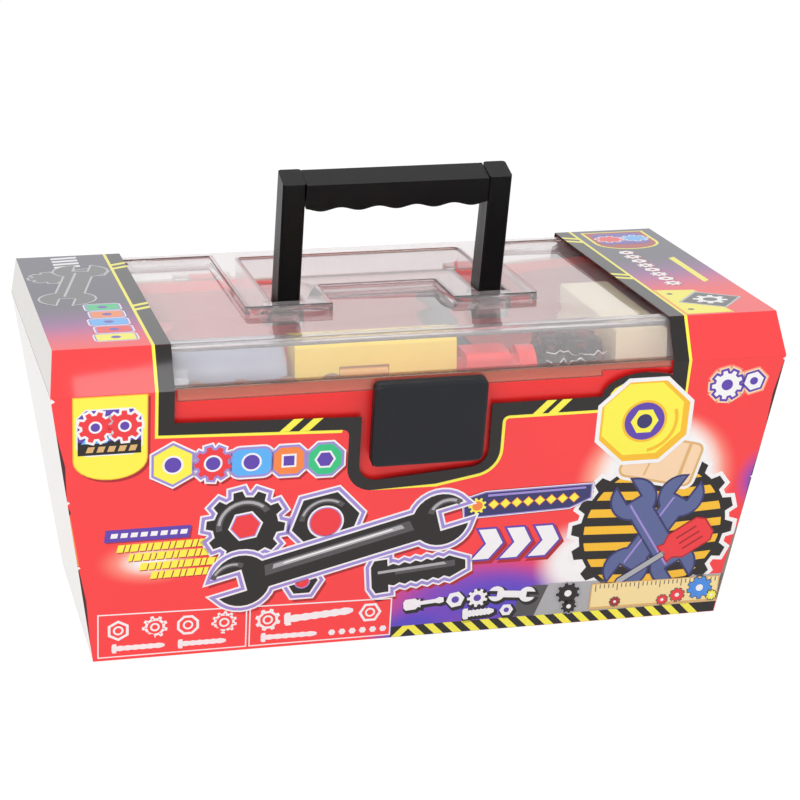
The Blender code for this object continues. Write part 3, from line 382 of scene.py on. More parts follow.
def make_clear(name, colour, roughness, ior, clarity, wave, wave_scale=30.0, edge=None, foot=None):
    """Clear plastic that lets the lamps' light through, with painted shade on its edges and foot if asked.
    """
    made, tree, shader, place = start_material(name)
    feed(tree, shader.inputs["Base Color"], colour)
    if edge:
        low = range_node(tree, axis_node(tree, place, "Z"), FOOT_TOP, FOOT_TOP + FOOT_FADE, 1.0, 0.0)
        turn = use_group(tree, WEAR_AND_EDGE_SHADE, place=place, reach=LID_EDGE_SHADE_REACH, end=LID_EDGE_SHADE_END, whole=1.0)
        painted_shade_tint = mix_colour(tree, turn.outputs["Mask"], mix_colour(tree, low, colour, foot), edge)
        feed(tree, shader.inputs["Base Color"], painted_shade_tint)
    feed_all(tree, shader, {"Roughness": roughness, "IOR": ior, "Transmission Weight": clarity})
    use_bump(tree, shader, noise_node(tree, place, wave_scale), CLEAR_BUMP, wave)
    through = add_node(tree, "BsdfTransparent", {"Color": colour})
    mix_shaders(tree, add_node(tree, "LightPath").outputs["Is Shadow Ray"], shader, through)
    return made


def make_steel():
    """Drawn wire of the pins."""
    made, tree, shader, place = start_material("drawn_steel")
    shader.inputs["Metallic"].default_value = 1.0
    looks = {"roughness": 0.3, "mottle": 0.12, "grain": 0.3, "grain_scale": 900.0}
    use_surface(tree, shader, place=place, colour=(0.62, 0.62, 0.64), **looks)
    return made


CARD = make_card()
STEEL = make_steel()
# The lid's dark edge colour and brown foot colour are painted shade
CLEAR_LID = make_clear(
    "clear_lid_plastic", (0.97, 0.955, 0.96), 0.02, 1.50, 0.90, 0.10,
    edge=(0.09, 0.022, 0.042), foot=(0.72, 0.58, 0.42),
)
FILM = make_clear("clear_bag_film", (0.42, 0.33, 0.35), 0.06, 1.28, 0.97, 0.6, 260.0)
# The fold ridges' pale colour is a painted highlight of the film's crinkles
FOLD_HIGHLIGHT = moulded("film_fold_highlight", (0.82, 0.80, 0.80), 0.2, coat=0.5)
RED_TUB = moulded("red_tub_plastic", (0.86, 0.020, 0.020), 0.30, worn=(0.95, 0.30, 0.28), wear=0.25)
# The tray: the tub's red plastic made darker, as painted shade inside the tub
SHADED_RED_TRAY = moulded("red_tray_plastic_painted_shade", (0.50, 0.028, 0.032), 0.32)
RED_TOY = moulded("red_toy_plastic", (0.84, 0.018, 0.022), 0.28, coat=0.3)
BLACK_SATIN = moulded(
    "black_satin_plastic", (0.003, 0.003, 0.004), 0.36, grain=0.18, mottle=0.3,
    worn=(0.05, 0.05, 0.055), wear=0.35, gloss=0.16,
)
LATCH_SATIN = moulded(
    "latch_satin_plastic", (0.010, 0.011, 0.015), 0.40, grain=0.22, mottle=0.35,
    worn=(0.09, 0.09, 0.10), wear=0.5, gloss=0.26,
)
YELLOW_TOY = moulded(
    "yellow_toy_plastic", (0.96, 0.75, 0.09), 0.32, mottle=0.18, mottle_scale=35.0, coat=0.3
)
DARK_TOY = moulded("dark_toy_plastic", (0.05, 0.045, 0.05), 0.42, mottle=0.2)
SMOKE_TOY = moulded(
    "smoke_toy_plastic", (0.38, 0.41, 0.50), 0.24, mottle=0.5, mottle_scale=30.0, coat=0.4
)
GREY_TOY = moulded("grey_toy_plastic", (0.45, 0.45, 0.47), 0.34)
TAN_TOY = moulded("tan_toy_plastic", (0.22, 0.10, 0.06), 0.38, mottle=0.25)
CREAM_TOY = moulded("cream_toy_plastic", (0.80, 0.69, 0.46), 0.45, mottle=0.18, mottle_scale=26.0)
VIAL = moulded("vial_amber_plastic", (0.78, 0.40, 0.03), 0.08, coat=1.0)

INK_COLOURS = {
    "field": RED_INK,
    "black": (0.010, 0.006, 0.006),
    "yellow": (0.96, 0.88, 0.07),
    "amber": (0.93, 0.52, 0.02),
    "white": (0.90, 0.89, 0.90),
    "lilac": (0.34, 0.26, 0.66),
    "purple": (0.11, 0.05, 0.42),
    "denim": (0.095, 0.125, 0.30),
    "peach": (0.93, 0.66, 0.42),
    "straw": (0.93, 0.74, 0.36),
    "slate": (0.13, 0.13, 0.14),
    "coral": (0.97, 0.26, 0.17),
    "silver": (0.50, 0.49, 0.52),
    "umber": (0.055, 0.012, 0.012),
    "taupe": (0.27, 0.20, 0.17),
    "navy": (0.03, 0.03, 0.14),
    "blue": (0.06, 0.27, 0.80),
    "sky": (0.10, 0.44, 0.92),
    "green": (0.03, 0.56, 0.22),
    "orange": (0.92, 0.24, 0.05),
    "red": (0.86, 0.035, 0.045),
    "crimson": (0.42, 0.010, 0.018),
    "tan": (0.72, 0.44, 0.17),
    "grey": (0.42, 0.42, 0.44),
    "graphite": (0.085, 0.080, 0.085),
}
INKS = {name: printed(f"ink_{name}", colour) for name, colour in INK_COLOURS.items()}


# Shapes of the print, as closed outlines in millimetres

CORNER_STEPS = 5

# A sharp corner is pushed out by no more than so many margins
GROWN_LIMIT = 2.2
RIBBON_LIMIT = 4
TURNED_BACK = 0.01


def arc_points(x, y, radius, start, end, steps, tall=None):
    """Points on a round arc, or on an oval one of another height; angles in degrees."""
    turns = [math.radians(start + (end - start) * step / steps) for step in range(steps + 1)]
    return [(x + radius * math.cos(turn), y + (tall or radius) * math.sin(turn)) for turn in turns]


def disc(x, y, radius, steps=36):
    """A round spot."""
    return arc_points(x, y, radius, 0, 360, steps)[:-1]


def polygon(x, y, radius, sides, turn):
    """A regular outline such as a nut's."""
    return [
        (x + radius * math.cos(angle), y + radius * math.sin(angle))
        for angle in (math.radians(turn) + math.tau * side / sides for side in range(sides))
    ]


def cog(x, y, radius, teeth, depth, turn=0):
    """A toothed wheel."""
    points = []
    shares = ((0, 1 - depth), (0.30, 1 - depth), (0.42, 1), (0.78, 1), (0.90, 1 - depth))
    for tooth in range(teeth):
        for along, out in shares:
            angle = math.radians(turn) + math.tau * (tooth + along) / teeth
            points.append((x + radius * out * math.cos(angle), y + radius * out * math.sin(angle)))
    return points


def rounded(left, low, right, high, radius, steps=CORNER_STEPS):
    """A rectangle with round corners."""
    points = []
    for x, y, start in (
        (right - radius, high - radius, 0),
        (left + radius, high - radius, 90),
        (left + radius, low + radius, 180),
        (right - radius, low + radius, 270),
    ):
        points += arc_points(x, y, radius, start, start + 90, steps)
    return points


def chamfered(left, low, right, high, cut):
    """A rectangle with cut corners."""
    return rounded(left, low, right, high, cut, 1)


def rectangle(left, low, right, high):
    """A plain rectangle."""
    return [(left, low), (right, low), (right, high), (left, high)]


def leaning(left, low, width, height, lean):
    """A bar whose top is shifted sideways by `lean`."""
    right, high = left + width, low + height
    return [(left, low), (right, low), (right + lean, high), (left + lean, high)]


def moved(points, x=0, y=0, turn=0, scale=1):
    """An outline turned, scaled, then shifted."""
    c, s = math.cos(math.radians(turn)) * scale, math.sin(math.radians(turn)) * scale
    return [(x + px * c - py * s, y + px * s + py * c) for px, py in points]


def pushed(before, here, after, margin, limit):
    """A corner of a line pushed to its right-hand side, held in where it is sharp."""
    first = Vector((here[0] - before[0], here[1] - before[1]))
    second = Vector((after[0] - here[0], after[1] - here[1]))
    first = first.normalized() if first.length else second.normalized()
    second = second.normalized() if second.length else first
    out = Vector((first.y + second.y, -first.x - second.x))
    if out.length < TURNED_BACK:
        out = Vector((first.y, -first.x)) * 2
    out = out.normalized() * min(2 / out.length, limit) * margin
    return here[0] + out.x, here[1] + out.y


def grown(points, margin):
    """An outline with its edges pushed out by a margin."""
    area = sum(a[0] * b[1] - b[0] * a[1] for a, b in zip(points, points[1:] + points[:1]))
    side = margin if area > 0 else -margin
    corners = zip(points[-1:] + points[:-1], points, points[1:] + points[:1])
    return [pushed(*corner, side, GROWN_LIMIT) for corner in corners]


def ribbon(points, width):
    """A strip of even width along a line, on its right-hand side."""
    corners = zip(points[:1] + points[:-1], points, points[1:] + points[-1:])
    return points + [pushed(*corner, width, RIBBON_LIMIT) for corner in corners][::-1]


def mirrored(half):
    """A closed outline from its lower half, the other one mirrored over X."""
    return half + [(x, -y) for x, y in reversed(half)]


def spanner_shape(length, head, waist, jaw):
    """An open-ended spanner along X, its middle at zero."""
    reach = length / 2 - head
    open_turn = math.degrees(math.asin(jaw / head))
    neck = math.degrees(math.asin(waist / head))
    right = arc_points(reach, 0, head, -180 + neck, -open_turn, 10)
    right += [(reach - head * 0.1, -jaw), (reach - head * 0.1, jaw)]
    right += arc_points(reach, 0, head, open_turn, 180 - neck, 10)
    left = [(-x, -y) for x, y in right]
    return right + left


def bolt_shape(length, head, shank):
    """A bolt along X with a hexagon head, seen from the side, its middle at zero."""
    left = -length / 2
    head_end = left + head * 0.9
    points = [(left, -head * 0.62), (left + head * 0.2, -head), (head_end, -head), (head_end, -shank)]
    count = 6
    pitch = (length / 2 - shank - head_end) / count
    for number in range(count):
        points.append((head_end + pitch * (number + 0.5), -shank * 1.18))
        points.append((head_end + pitch * (number + 1), -shank * 0.92))
    points.append((length / 2, -shank * 0.45))
    return mirrored(points)


def driver_shape(length, handle, shaft):
    """A screwdriver along X, its middle at zero."""
    left = -length / 2
    grip = left + length * 0.42
    return mirrored([
        (left, -handle * 0.5),
        (left + handle * 0.35, -handle),
        (grip - handle * 0.8, -handle),
        (grip - handle * 0.4, -handle * 0.62),
        (grip, -handle * 0.78),
        (grip, -shaft),
        (length / 2 - shaft * 4, -shaft),
        (length / 2 - shaft * 2, -shaft * 1.7),
        (length / 2, -shaft * 1.2),
    ])


# Laying the print on the card


def ink_slab(loops, rise, matrix):
    """A thin closed slab of ink: its outline, then its holes, set on its face."""
    bm = bmesh.new()
    for loop in loops:
        verts = [bm.verts.new((x * MM, y * MM, 0.0)) for x, y in loop]
        for pair in zip(verts, verts[1:] + verts[:1]):
            bm.edges.new(pair)
    bmesh.ops.triangle_fill(bm, use_beauty=True, edges=bm.edges[:], normal=(0.0, 0.0, 1.0))
    bmesh.ops.recalc_face_normals(bm, faces=bm.faces[:])
    if bm.faces and bm.faces[:][0].normal.z > 0:
        bmesh.ops.reverse_faces(bm, faces=bm.faces[:])
    bmesh.ops.translate(bm, verts=bm.verts[:], vec=(0.0, 0.0, INK_FOOT))
    top = bmesh.ops.extrude_face_region(bm, geom=bm.faces[:], use_keep_orig=True)["geom"]
    risen = [item for item in top if isinstance(item, bmesh.types.BMVert)]
    bmesh.ops.translate(bm, verts=risen, vec=(0.0, 0.0, rise))
    bmesh.ops.recalc_face_normals(bm, faces=bm.faces[:])
    bmesh.ops.transform(bm, matrix=matrix, verts=bm.verts[:])
    mesh = bpy.data.meshes.new("slab")
    bm.to_mesh(mesh)
    bm.free()
    return mesh


class Face:
    """One printed face of the sleeve: where its millimetres lie, and the body that it rides on."""

    def __init__(self, name, body, origin, along, up):
        self.name = name
        self.body = body
        out = Vector(along).cross(Vector(up)).normalized()
        self.matrix = Matrix((along, up, out)).transposed().to_4x4()
        self.matrix.translation = Vector(origin)
        self.shapes = {}

    def ink(self, colour, layer, *loops):
        """One inked shape: its outline, then its holes."""
        self.shapes.setdefault(colour, []).append((layer, loops))

    def sticker(self, points, layer, *coats):
        """Coats of ink under one shape, as (colour, margin), the widest first."""
        for number, (colour, margin) in enumerate(coats):
            self.ink(colour, layer + number, grown(points, margin) if margin else points)

    def lay(self):
        """Make the face's inks, one piece for each colour."""
        for colour, shapes in self.shapes.items():
            bm = bmesh.new()
            for layer, loops in shapes:
                slab = ink_slab(loops, INK_STEP * layer, self.matrix)
                bm.from_mesh(slab)
                bpy.data.meshes.remove(slab)
            name = f"print_{self.name}_{colour}"
            add_piece(name, bm, INKS[colour], self.body, smooth=None)


def keep(name, bm, finish, smooth):
    """An object from a bmesh, at the origin, with its finish, flat or smooth up to an angle."""
    mesh = bpy.data.meshes.new(name)
    bm.to_mesh(mesh)
    bm.free()
    if smooth is not None:
        mesh.shade_smooth()
        mesh.set_sharp_from_angle(angle=math.radians(smooth))
    mesh.materials.append(finish)
    piece = bpy.data.objects.new(name, mesh)
    bpy.context.scene.collection.objects.link(piece)
    if smooth is not None:
        even = piece.modifiers.new("even shading", "WEIGHTED_NORMAL")
        even.keep_sharp = True
        even.weight = 100
    return piece


def add_piece(name, bm, finish, body, smooth=30.0, node=None):
    """A piece that rides on a body, in place of a CAD node if one is given."""
    piece = keep(name, bm, finish, smooth)
    if node:
        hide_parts(node)
    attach(piece, body)


SLOPE = (RIM_Y - BASE_Y) / (RIM_Z - BASE_Z)
UPPER_SLOPE = (BAND_Y - TOP_Y) / (TOP_Z - BAND_Z)
FRONT = Face("front", "tub_body", (0, -BASE_Y, 0), (1, 0, 0), (0, -SLOPE, 1))
BACK = Face("back", "tub_body", (0, BASE_Y, 0), (-1, 0, 0), (0, SLOPE, 1))
SHOULDER = Face(
    "shoulder", "lid_body", (0, -BAND_Y - UPPER_SLOPE * BAND_Z, 0), (1, 0, 0), (0, UPPER_SLOPE, 1)
)
REAR_SHOULDER = Face(
    "rear_shoulder", "lid_body", (0, BAND_Y + UPPER_SLOPE * BAND_Z, 0), (-1, 0, 0), (0, -UPPER_SLOPE, 1)
)
TOP = Face("top", "lid_body", (0, 0, TOP_Z), (1, 0, 0), (0, 1, 0))

# The die-cut window and its printed frame, in millimetres
WINDOW_X = WINDOW / MM
KEYLINE_X = 119
KEYLINE = 1.4
SILL = 118
SILL_LATCH = 115.4
SILL_KEYLINE = 111.6
KEYLINE_LEFT = 112.6
KEYLINE_LATCH = 109.7
RIM = RIM_Z / MM - 0.05
LATCH_CUT = 29.5
LATCH_KEY = 34.8
LATCH_KEY_LOW_LEFT = 78.5
LATCH_KEY_LOW_RIGHT = 83
LATCH_CUT_LOW_LEFT = 83.5
LATCH_CUT_LOW_RIGHT = 87
ARCH_X = 100.5
ARCH_HALF = 20.5
ARCH_RISE = 11


def print_window_frame():
    """Black border and yellow keyline round the front window and the latch's cut-out."""
    corner, bend, nip = 8, 12, 3
    arch = arc_points(ARCH_X, SILL, ARCH_HALF, 180, 0, 12, ARCH_RISE)
    edge_rise = ARCH_RISE * math.sqrt(1 - ((WINDOW_X - ARCH_X) / ARCH_HALF) ** 2)
    die = [
        (-WINDOW_X, RIM),
        (-WINDOW_X, SILL),
        (-LATCH_CUT, SILL_LATCH),
        *arc_points(-LATCH_CUT + corner, LATCH_CUT_LOW_LEFT + corner, corner, 180, 270, 5),
        *arc_points(LATCH_CUT - corner, LATCH_CUT_LOW_RIGHT + corner, corner, 270, 360, 5),
        (LATCH_CUT, SILL),
        *(point for point in arch if point[0] < WINDOW_X),
        (WINDOW_X, SILL + edge_rise),
        (WINDOW_X, RIM),
    ]
    key = [
        (-KEYLINE_X, RIM),
        (-KEYLINE_X, KEYLINE_LEFT),
        (-LATCH_KEY - nip, KEYLINE_LATCH),
        *arc_points(-LATCH_KEY - nip, KEYLINE_LATCH - nip, nip, 90, 0, 4),
        *arc_points(-LATCH_KEY + bend, LATCH_KEY_LOW_LEFT + bend, bend, 180, 265, 8),
        (6, 79.6),
        *arc_points(LATCH_KEY - bend, LATCH_KEY_LOW_RIGHT + bend, bend, 285, 360, 7),
        *arc_points(LATCH_KEY + nip, SILL_KEYLINE - nip, nip, 180, 90, 4),
        (ARCH_X - ARCH_HALF + 1, SILL_KEYLINE),
        *arc_points(ARCH_X, SILL, ARCH_HALF - 3.6, 205, 25, 10, ARCH_RISE - 3.2),
        (KEYLINE_X, SILL_KEYLINE - 1),
        (KEYLINE_X, RIM),
    ]
    FRONT.ink("black", 1, die + key[::-1])
    FRONT.ink("yellow", 3, ribbon(key, KEYLINE))
    slashes = [(-66, 110.7, 116.5), (-57.2, 110.4, 116.2)]
    slashes += [(x, SILL_KEYLINE, SILL) for x in (48.4, 55.6)]
    for x, low, high in slashes:
        FRONT.ink("yellow", 2, leaning(x, low, 4.4, high - low, 6.2))


def print_band_frames():
    """The same border on the bands: over the crease, up the shoulders and over the top."""
    shoulder = (RIM_Z / MM - 0.02, TOP_Z / MM - 0.02)
    over, edge, half = BAND_Z / MM + 0.5, BAND_X / MM, TOP_Y / MM - 0.02
    for side in (-1, 1):
        strips = ((SHOULDER, side, *shoulder), (REAR_SHOULDER, -side, *shoulder), (TOP, side, -half, half))
        for face, turn, low, high in strips:
            inner, outer, end = (turn * x for x in (WINDOW_X, KEYLINE_X, KEYLINE_X + KEYLINE))
            face.ink("black", 1, rectangle(inner, low, outer, high))
            face.ink("yellow", 3, rectangle(outer, low, end, high))
            if face is not TOP:
                rest = [(end, low), (turn * edge, low), (turn * (edge - 0.05), over), (end, over)]
                face.ink("field", 1, rest)
        for place in (-24, -16.5, 60, 67.5) if side < 0 else (-14, -6.5, 68, 75.5):
            slash = [(inner, place), (outer, place - 4), (outer, place - 0.4), (inner, place + 3.6)]
            TOP.ink("yellow", 2, slash)


def print_hazard_strip(face, left, right):
    """Black and yellow slanted stripes along the foot of a face, with a chevron start."""
    low, high, bar, pitch = 0.15, 5.8, 4.3, 8.87
    lean = high * 0.92
    face.ink("black", 1, [(left, low), (right, low), (right + high * 0.13, high), (left, high)])
    face.ink("yellow", 2, leaning(left + 0.2, low, bar, high - low, lean))
    x = crossing = left + 12
    while x + bar < right:
        layer = 3 if x == crossing else 2
        face.ink("yellow", layer, leaning(x, low, bar, high - low, -lean))
        x += pitch


def print_shield(face, left, right, high, foot):
    """Yellow tab with a purple plaque and two cogs."""
    middle, radius = (left + right) / 2, (right - left) / 2
    sag = radius * 0.62
    tab = [(left, high), *arc_points(middle, foot + sag, radius, 180, 360, 14, sag), (right, high)]
    face.ink("crimson", 1, moved(tab, 1.1, -1.2))
    face.sticker(tab, 2, ("amber", 0), ("yellow", -0.5))
    west, east, low, top = left + 2.2, right - 2.9, foot + 12.6, high - 6.6
    face.sticker(chamfered(west, low, east, top, 3.6), 4, ("white", 0.6), ("purple", 0))
    face.ink("black", 6, rectangle(west, low, east, low + 6.4))
    face.ink("sky", 7, leaning(west + 1.4, low + 5.6, 11, 2.4, 2))
    for shift, turn in ((-6.4, 0), (6.2, 20)):
        hub = (middle + shift, top - 8)
        face.sticker(cog(*hub, 7.4, 8, 0.24, turn), 8, ("white", 1.1), ("red", 0))
        face.ink("white", 10, disc(*hub, 2.9))
        face.ink("purple", 11, disc(*hub, 2))
    for number in range(5):
        face.ink("tan", 8, leaning(west + 3.4 + number * 4.6, low + 1.3, 3, 2.7, 1))


def print_tiles(face, left, low):
    """A row of five coloured badges, touching, with white and lilac outlines and a dark red shadow."""
    shapes = (
        (0, "yellow", polygon(0, 0, 9.6, 6, 30), disc(0, 0, 3.7)),
        (17.6, "red", cog(0, 0, 8.2, 9, 0.2), disc(0, 0, 3.2)),
        (34.6, "sky", rounded(-8.6, -6.4, 8.6, 6.4, 3.6), disc(0, 0, 3.6)),
        (51.2, "orange", chamfered(-6.7, -6.6, 6.7, 6.6, 2.8), polygon(0, 0, 3.4, 4, 45)),
        (67.4, "green", polygon(0, 0, 8, 8, 22.5), polygon(0, 0, 3.8, 6, 0)),
    )
    badges = [(left + across, low - across * 0.03, *shape) for across, *shape in shapes]
    for x, y, colour, outline, hole in badges:
        face.ink("crimson", 1, grown(moved(outline, x + 1, y - 1.3), 1.7))
    for margin, layer, coat in ((1.9, 2, "white"), (1.1, 3, "lilac")):
        for x, y, colour, outline, hole in badges:
            face.ink(coat, layer, grown(moved(outline, x, y), margin))
    for x, y, colour, outline, hole in badges:
        face.ink(colour, 4, moved(outline, x, y))
        face.ink("white", 5, moved(grown(hole, 0.9), x, y))
        face.ink("purple", 6, moved(hole, x, y))


def print_black_tools(face):
    """The large black spanner over a cog, nuts and a bolt, with white and lilac outlines."""
    wheel, nut, small_nut, spanner_at = (-79.6, 64.8), (-43.4, 64), (-53, 34), (-35.5, 48.8, 15)
    shapes = (
        moved(cog(0, 0, 17.8, 10, 0.18, 9), *wheel),
        moved(polygon(0, 0, 15.6, 6, 12), *nut),
        moved(polygon(0, 0, 7.2, 6, 0), *small_nut),
        moved(bolt_shape(44, 8.6, 4.9), 1, 34.8, 5),
        moved(spanner_shape(120, 13.2, 7, 5.8), *spanner_at),
    )
    for shape in shapes:
        face.ink("crimson", 1, grown(moved(shape, 1.5, -2), 2.4))
    coats = (("white", 3.2), ("lilac", 2.4), ("white", 0.9), ("black", 0))
    for layer, (colour, margin) in enumerate(coats, 2):
        for shape in shapes:
            lift = 5 if shape is shapes[-1] else 0
            face.sticker(shape, layer + lift, (colour, margin))
    for place, radius, sides in ((wheel, 6.4, 6), (nut, 7, 30)):
        face.sticker(polygon(*place, radius, sides, 9), 6, ("white", 1.3), ("lilac", 0.5), ("red", 0))
    face.sticker(disc(*small_nut, 3.2), 6, ("lilac", 0.6), ("red", 0))
    shines = ((-1, 4.4, 0, "graphite"), (1.4, 3.6, 4, "grey"), (2.3, 3, 9, "white"))
    for layer, (low, high, inset, colour) in enumerate(shines, 12):
        shine = [(-36 + inset, low), (34 - inset, low), (33 - inset, high), (-35 + inset, high)]
        face.ink(colour, layer, moved(shine, *spanner_at))
    gleams = (
        (7, *wheel, 10.6, 13.4, 50, 175),
        (7, *nut, 9.8, 12.2, 60, 160),
        (15, 13.4, 61.9, 7.6, 10.4, 70, 150),
        (15, -84.3, 35.7, 8.6, 11, 80, 150),
    )
    for layer, x, y, inner, outer, start, end in gleams:
        face.ink("graphite", layer, arc_strip(x, y, inner, outer, start - 14, end + 14))
        face.ink("grey", layer + 1, arc_strip(x, y, inner + 0.8, outer - 0.6, start, end))
    face.ink("graphite", 7, moved(rectangle(-14, -1, 14, 2.2), 4, 36, 5))
    face.ink("grey", 8, moved([(-20, 0.2), (12, 0.2), (11, 1.6), (-20, 1.6)], 2, 36.2, 5))


def arc_strip(x, y, inner, outer, start, end):
    """A curved strip between two radii."""
    return arc_points(x, y, outer, start, end, 10) + arc_points(x, y, inner, end, start, 10)


def print_ruler_lines(face):
    """A purple bar and rows of short yellow strokes over a pale glow."""
    face.ink("crimson", 1, leaning(-141.6, 60.6, 37.6, 6, 0.8))
    face.ink("purple", 2, leaning(-142.4, 61.2, 37.8, 6.2, 0.8))
    for number in range(8):
        face.ink("white", 3, leaning(-139.6 + number * 4.4, 63.2, 3, 2.3, 0.5))
    widths = (2.9, 1.9, 3.4)
    rows = ((-137, 55.8, 13), (-132, 51, 12), (-127, 46, 13), (-122, 41.2, 8))
    climb = 0.012
    for row, (left, low, count) in enumerate(rows):
        x = left
        for number in range(count):
            width = widths[(number + row) % 3]
            y = low + (x - left) * climb
            face.ink("crimson", 1, leaning(x + 0.4, y - 0.5, width, 3.7, 1))
            face.ink("yellow", 2, leaning(x, y, width, 3.7, 1))
            x += width + 0.6


def print_badge(face):
    """A navy name-plate shape with a sun-like nut and a row of yellow lozenges."""
    plate = [(21, 61), (70, 62.6), (79.5, 67), (79.5, 73.6), (30, 73), (20, 70)]
    face.sticker(plate, 1, ("crimson", 1.4), ("white", 1), ("lilac", 0.6), ("navy", 0))
    face.ink("lilac", 5, [(31, 71), (77, 71.8), (77, 72.8), (31, 72.2)])
    face.sticker(cog(26.4, 66.6, 4.2, 9, 0.25), 5, ("yellow", 0))
    face.ink("orange", 6, disc(26.4, 66.6, 2.4))
    for number in range(8):
        x = 34 + number * 5.4
        face.sticker(polygon(x, 66.9 + number * 0.10, 2.2, 4, 0), 5, ("orange", 0.35), ("yellow", 0))


def print_chevrons(face):
    """Three white arrowheads with a purple edge."""
    arrow = [(0, 0), (8, 0), (14.2, 8), (10.4, 15.6), (2.4, 15.6), (6.4, 8)]
    for number in range(3):
        head = moved(arrow, 25.6 + number * 13.4, 38.4 - number * 0.1)
        face.ink("crimson", 1, grown(moved(head, 1.2, -1.4), 1.2))
        face.sticker(head, 2, ("purple", 1), ("white", 0))


def print_small_tools(face):
    """White small tools over the purple glow, in two rows."""
    tools = (
        (4.5, 17.5, moved(driver_shape(19, 2.9, 1), turn=5), 0),
        (19.5, 17.8, polygon(0, 0, 4.4, 6, 10), 1.8),
        (30, 17.8, cog(0, 0, 4.9, 9, 0.25), 1.8),
        (46.5, 18.4, moved(spanner_shape(23, 4, 1.8, 1.5), turn=-6), 0),
        (31, 9.8, moved(bolt_shape(15, 2.9, 1.6), turn=3), 0),
        (44.5, 10, polygon(0, 0, 3.3, 6, 0), 1.3),
    )
    for x, y, outline, hole in tools:
        shape = moved(outline, x, y)
        face.ink("black", 2, grown(moved(shape, 0.7, -0.9), 0.9))
        face.ink("white", 3, shape)
        if hole:
            face.ink("purple", 4, disc(x, y, hole, 16))


def print_panels(face):
    """Two white-lined red panels with small white line drawings of nuts, cogs and bolts."""
    line, low = 0.6, 1.4
    for left, right, west_top, east_top in ((-145.4, -77.6, 24.4, 22.9), (-76.6, -10.4, 22.9, 21.4)):
        outline = [(left, low), (right, low), (right, east_top), (left, west_top)]
        face.ink("field", 1, outline)
        face.ink("white", 2, outline, grown(outline, -line))
    drawings = (
        (-136, 15.4, polygon(0, 0, 5.4, 6, 30), 2.4),
        (-119.5, 15.8, cog(0, 0, 5.9, 9, 0.22), 2.2),
        (-104.5, 15.6, polygon(0, 0, 5.4, 8, 22.5), 2.4),
        (-88, 15.4, cog(0, 0, 5.9, 11, 0.18), 2.4),
        (-68, 14.9, cog(0, 0, 5.9, 8, 0.2), 2.4),
        (-20.5, 14.6, polygon(0, 0, 5.4, 6, 0), 2.4),
    )
    for x, y, outline, hole in drawings:
        shape = moved(outline, x, y)
        face.ink("white", 2, shape, grown(shape, -1.2))
        face.ink("white", 2, disc(x, y, hole, 20), disc(x, y, hole - 0.9, 20))
    bolts = (
        (-44.5, 15.4, 32, 3.4, 4), (-127, 6, 24, 2.4, 0), (-98, 5.8, 22, 2.4, 0), (-58, 5.6, 26, 2.4, 0),
    )
    for x, y, length, head, turn in bolts:
        face.ink("white", 2, moved(bolt_shape(length, head, head / 2), x, y, turn))
    for number in range(6):
        face.ink("white", 2, polygon(-38 + number * 4.8, 5.4, 1.7, 6, 0))


def print_big_picture(face):
    """The large badge under the arch: yellow nut, wooden mallet, striped wheel and crossed tools."""
    across, up, reach = 111.4, 48, 33.2
    face.sticker(cog(across, up, reach + 6, 18, 0.10, 5), 1, ("white", 2), ("black", 0))
    face.ink("amber", 3, disc(across, up, reach, 60))
    step, bar, dip = 8.8, 4.5, 1.6
    for number in range(8):
        low = up - reach + dip + number * step
        near, far = (
            math.sqrt(max((reach + 0.3) ** 2 - (level - up) ** 2, 0)) for level in (low, low + bar)
        )
        stripe = [(across - near, low), (across, low - dip), (across + near, low)]
        stripe += [(across + far, low + bar), (across, low + bar - dip), (across - far, low + bar)]
        face.ink("black", 4, stripe)
    mallet = (111.5, 84, -14)
    head = moved(rounded(-18.5, -11.5, 18.5, 11.5, 4), *mallet)
    face.sticker(head, 5, ("white", 1.4), ("tan", 0), ("peach", -1.2))
    for grain in (leaning(10.6, -10.2, 1.6, 20.4, 0), leaning(-6, -9, 0.8, 18, 2)):
        face.ink("tan", 8, moved(grain, *mallet))
    for turn, layer in ((58, 9), (122, 11)):
        crossing = (112, 46, turn)
        face.sticker(moved(spanner_shape(64, 10.4, 5.4, 4.4), *crossing), layer, ("navy", 1), ("denim", 0))
        face.ink("lilac", layer + 2, moved([(-20, 2.2), (20, 2.2), (19, 3.2), (-19, 3.2)], *crossing))
    driver = (117, 33.5, 213)
    shaft = moved([(-2, -1.3), (23, -1.3), (25, 0), (23, 1.3), (-2, 1.3)], *driver)
    face.sticker(shaft, 14, ("navy", 0.6), ("grey", 0))
    grip = mirrored([(-26, -4), (-23, -7), (-8, -7), (-4, -4), (-1, -4.6)])
    face.sticker(moved(grip, *driver), 14, ("crimson", 0.8), ("red", 0))
    for side in (-3.4, 0, 3.4):
        face.ink("crimson", 16, moved(leaning(-21, side - 0.5, 11, 1, 0), *driver))
    nut = (101.2, 104.6)
    rim = [(x, y * 0.96) for x, y in polygon(0, 0, 22.4, 8, 22.5)]
    face.sticker(moved(rim, *nut), 15, ("white", 1.9), ("amber", 0))
    face.ink("yellow", 17, moved(grown(rim, -2), nut[0] - 1, nut[1] + 1.2))
    face.ink("amber", 18, arc_strip(*nut, 14.4, 16, -80, 20))
    face.sticker(disc(*nut, 9.4), 18, ("amber", 1.2), ("purple", 0))
    face.ink("yellow", 20, polygon(*nut, 6.6, 6, 0))
    face.ink("navy", 21, disc(*nut, 3.6))


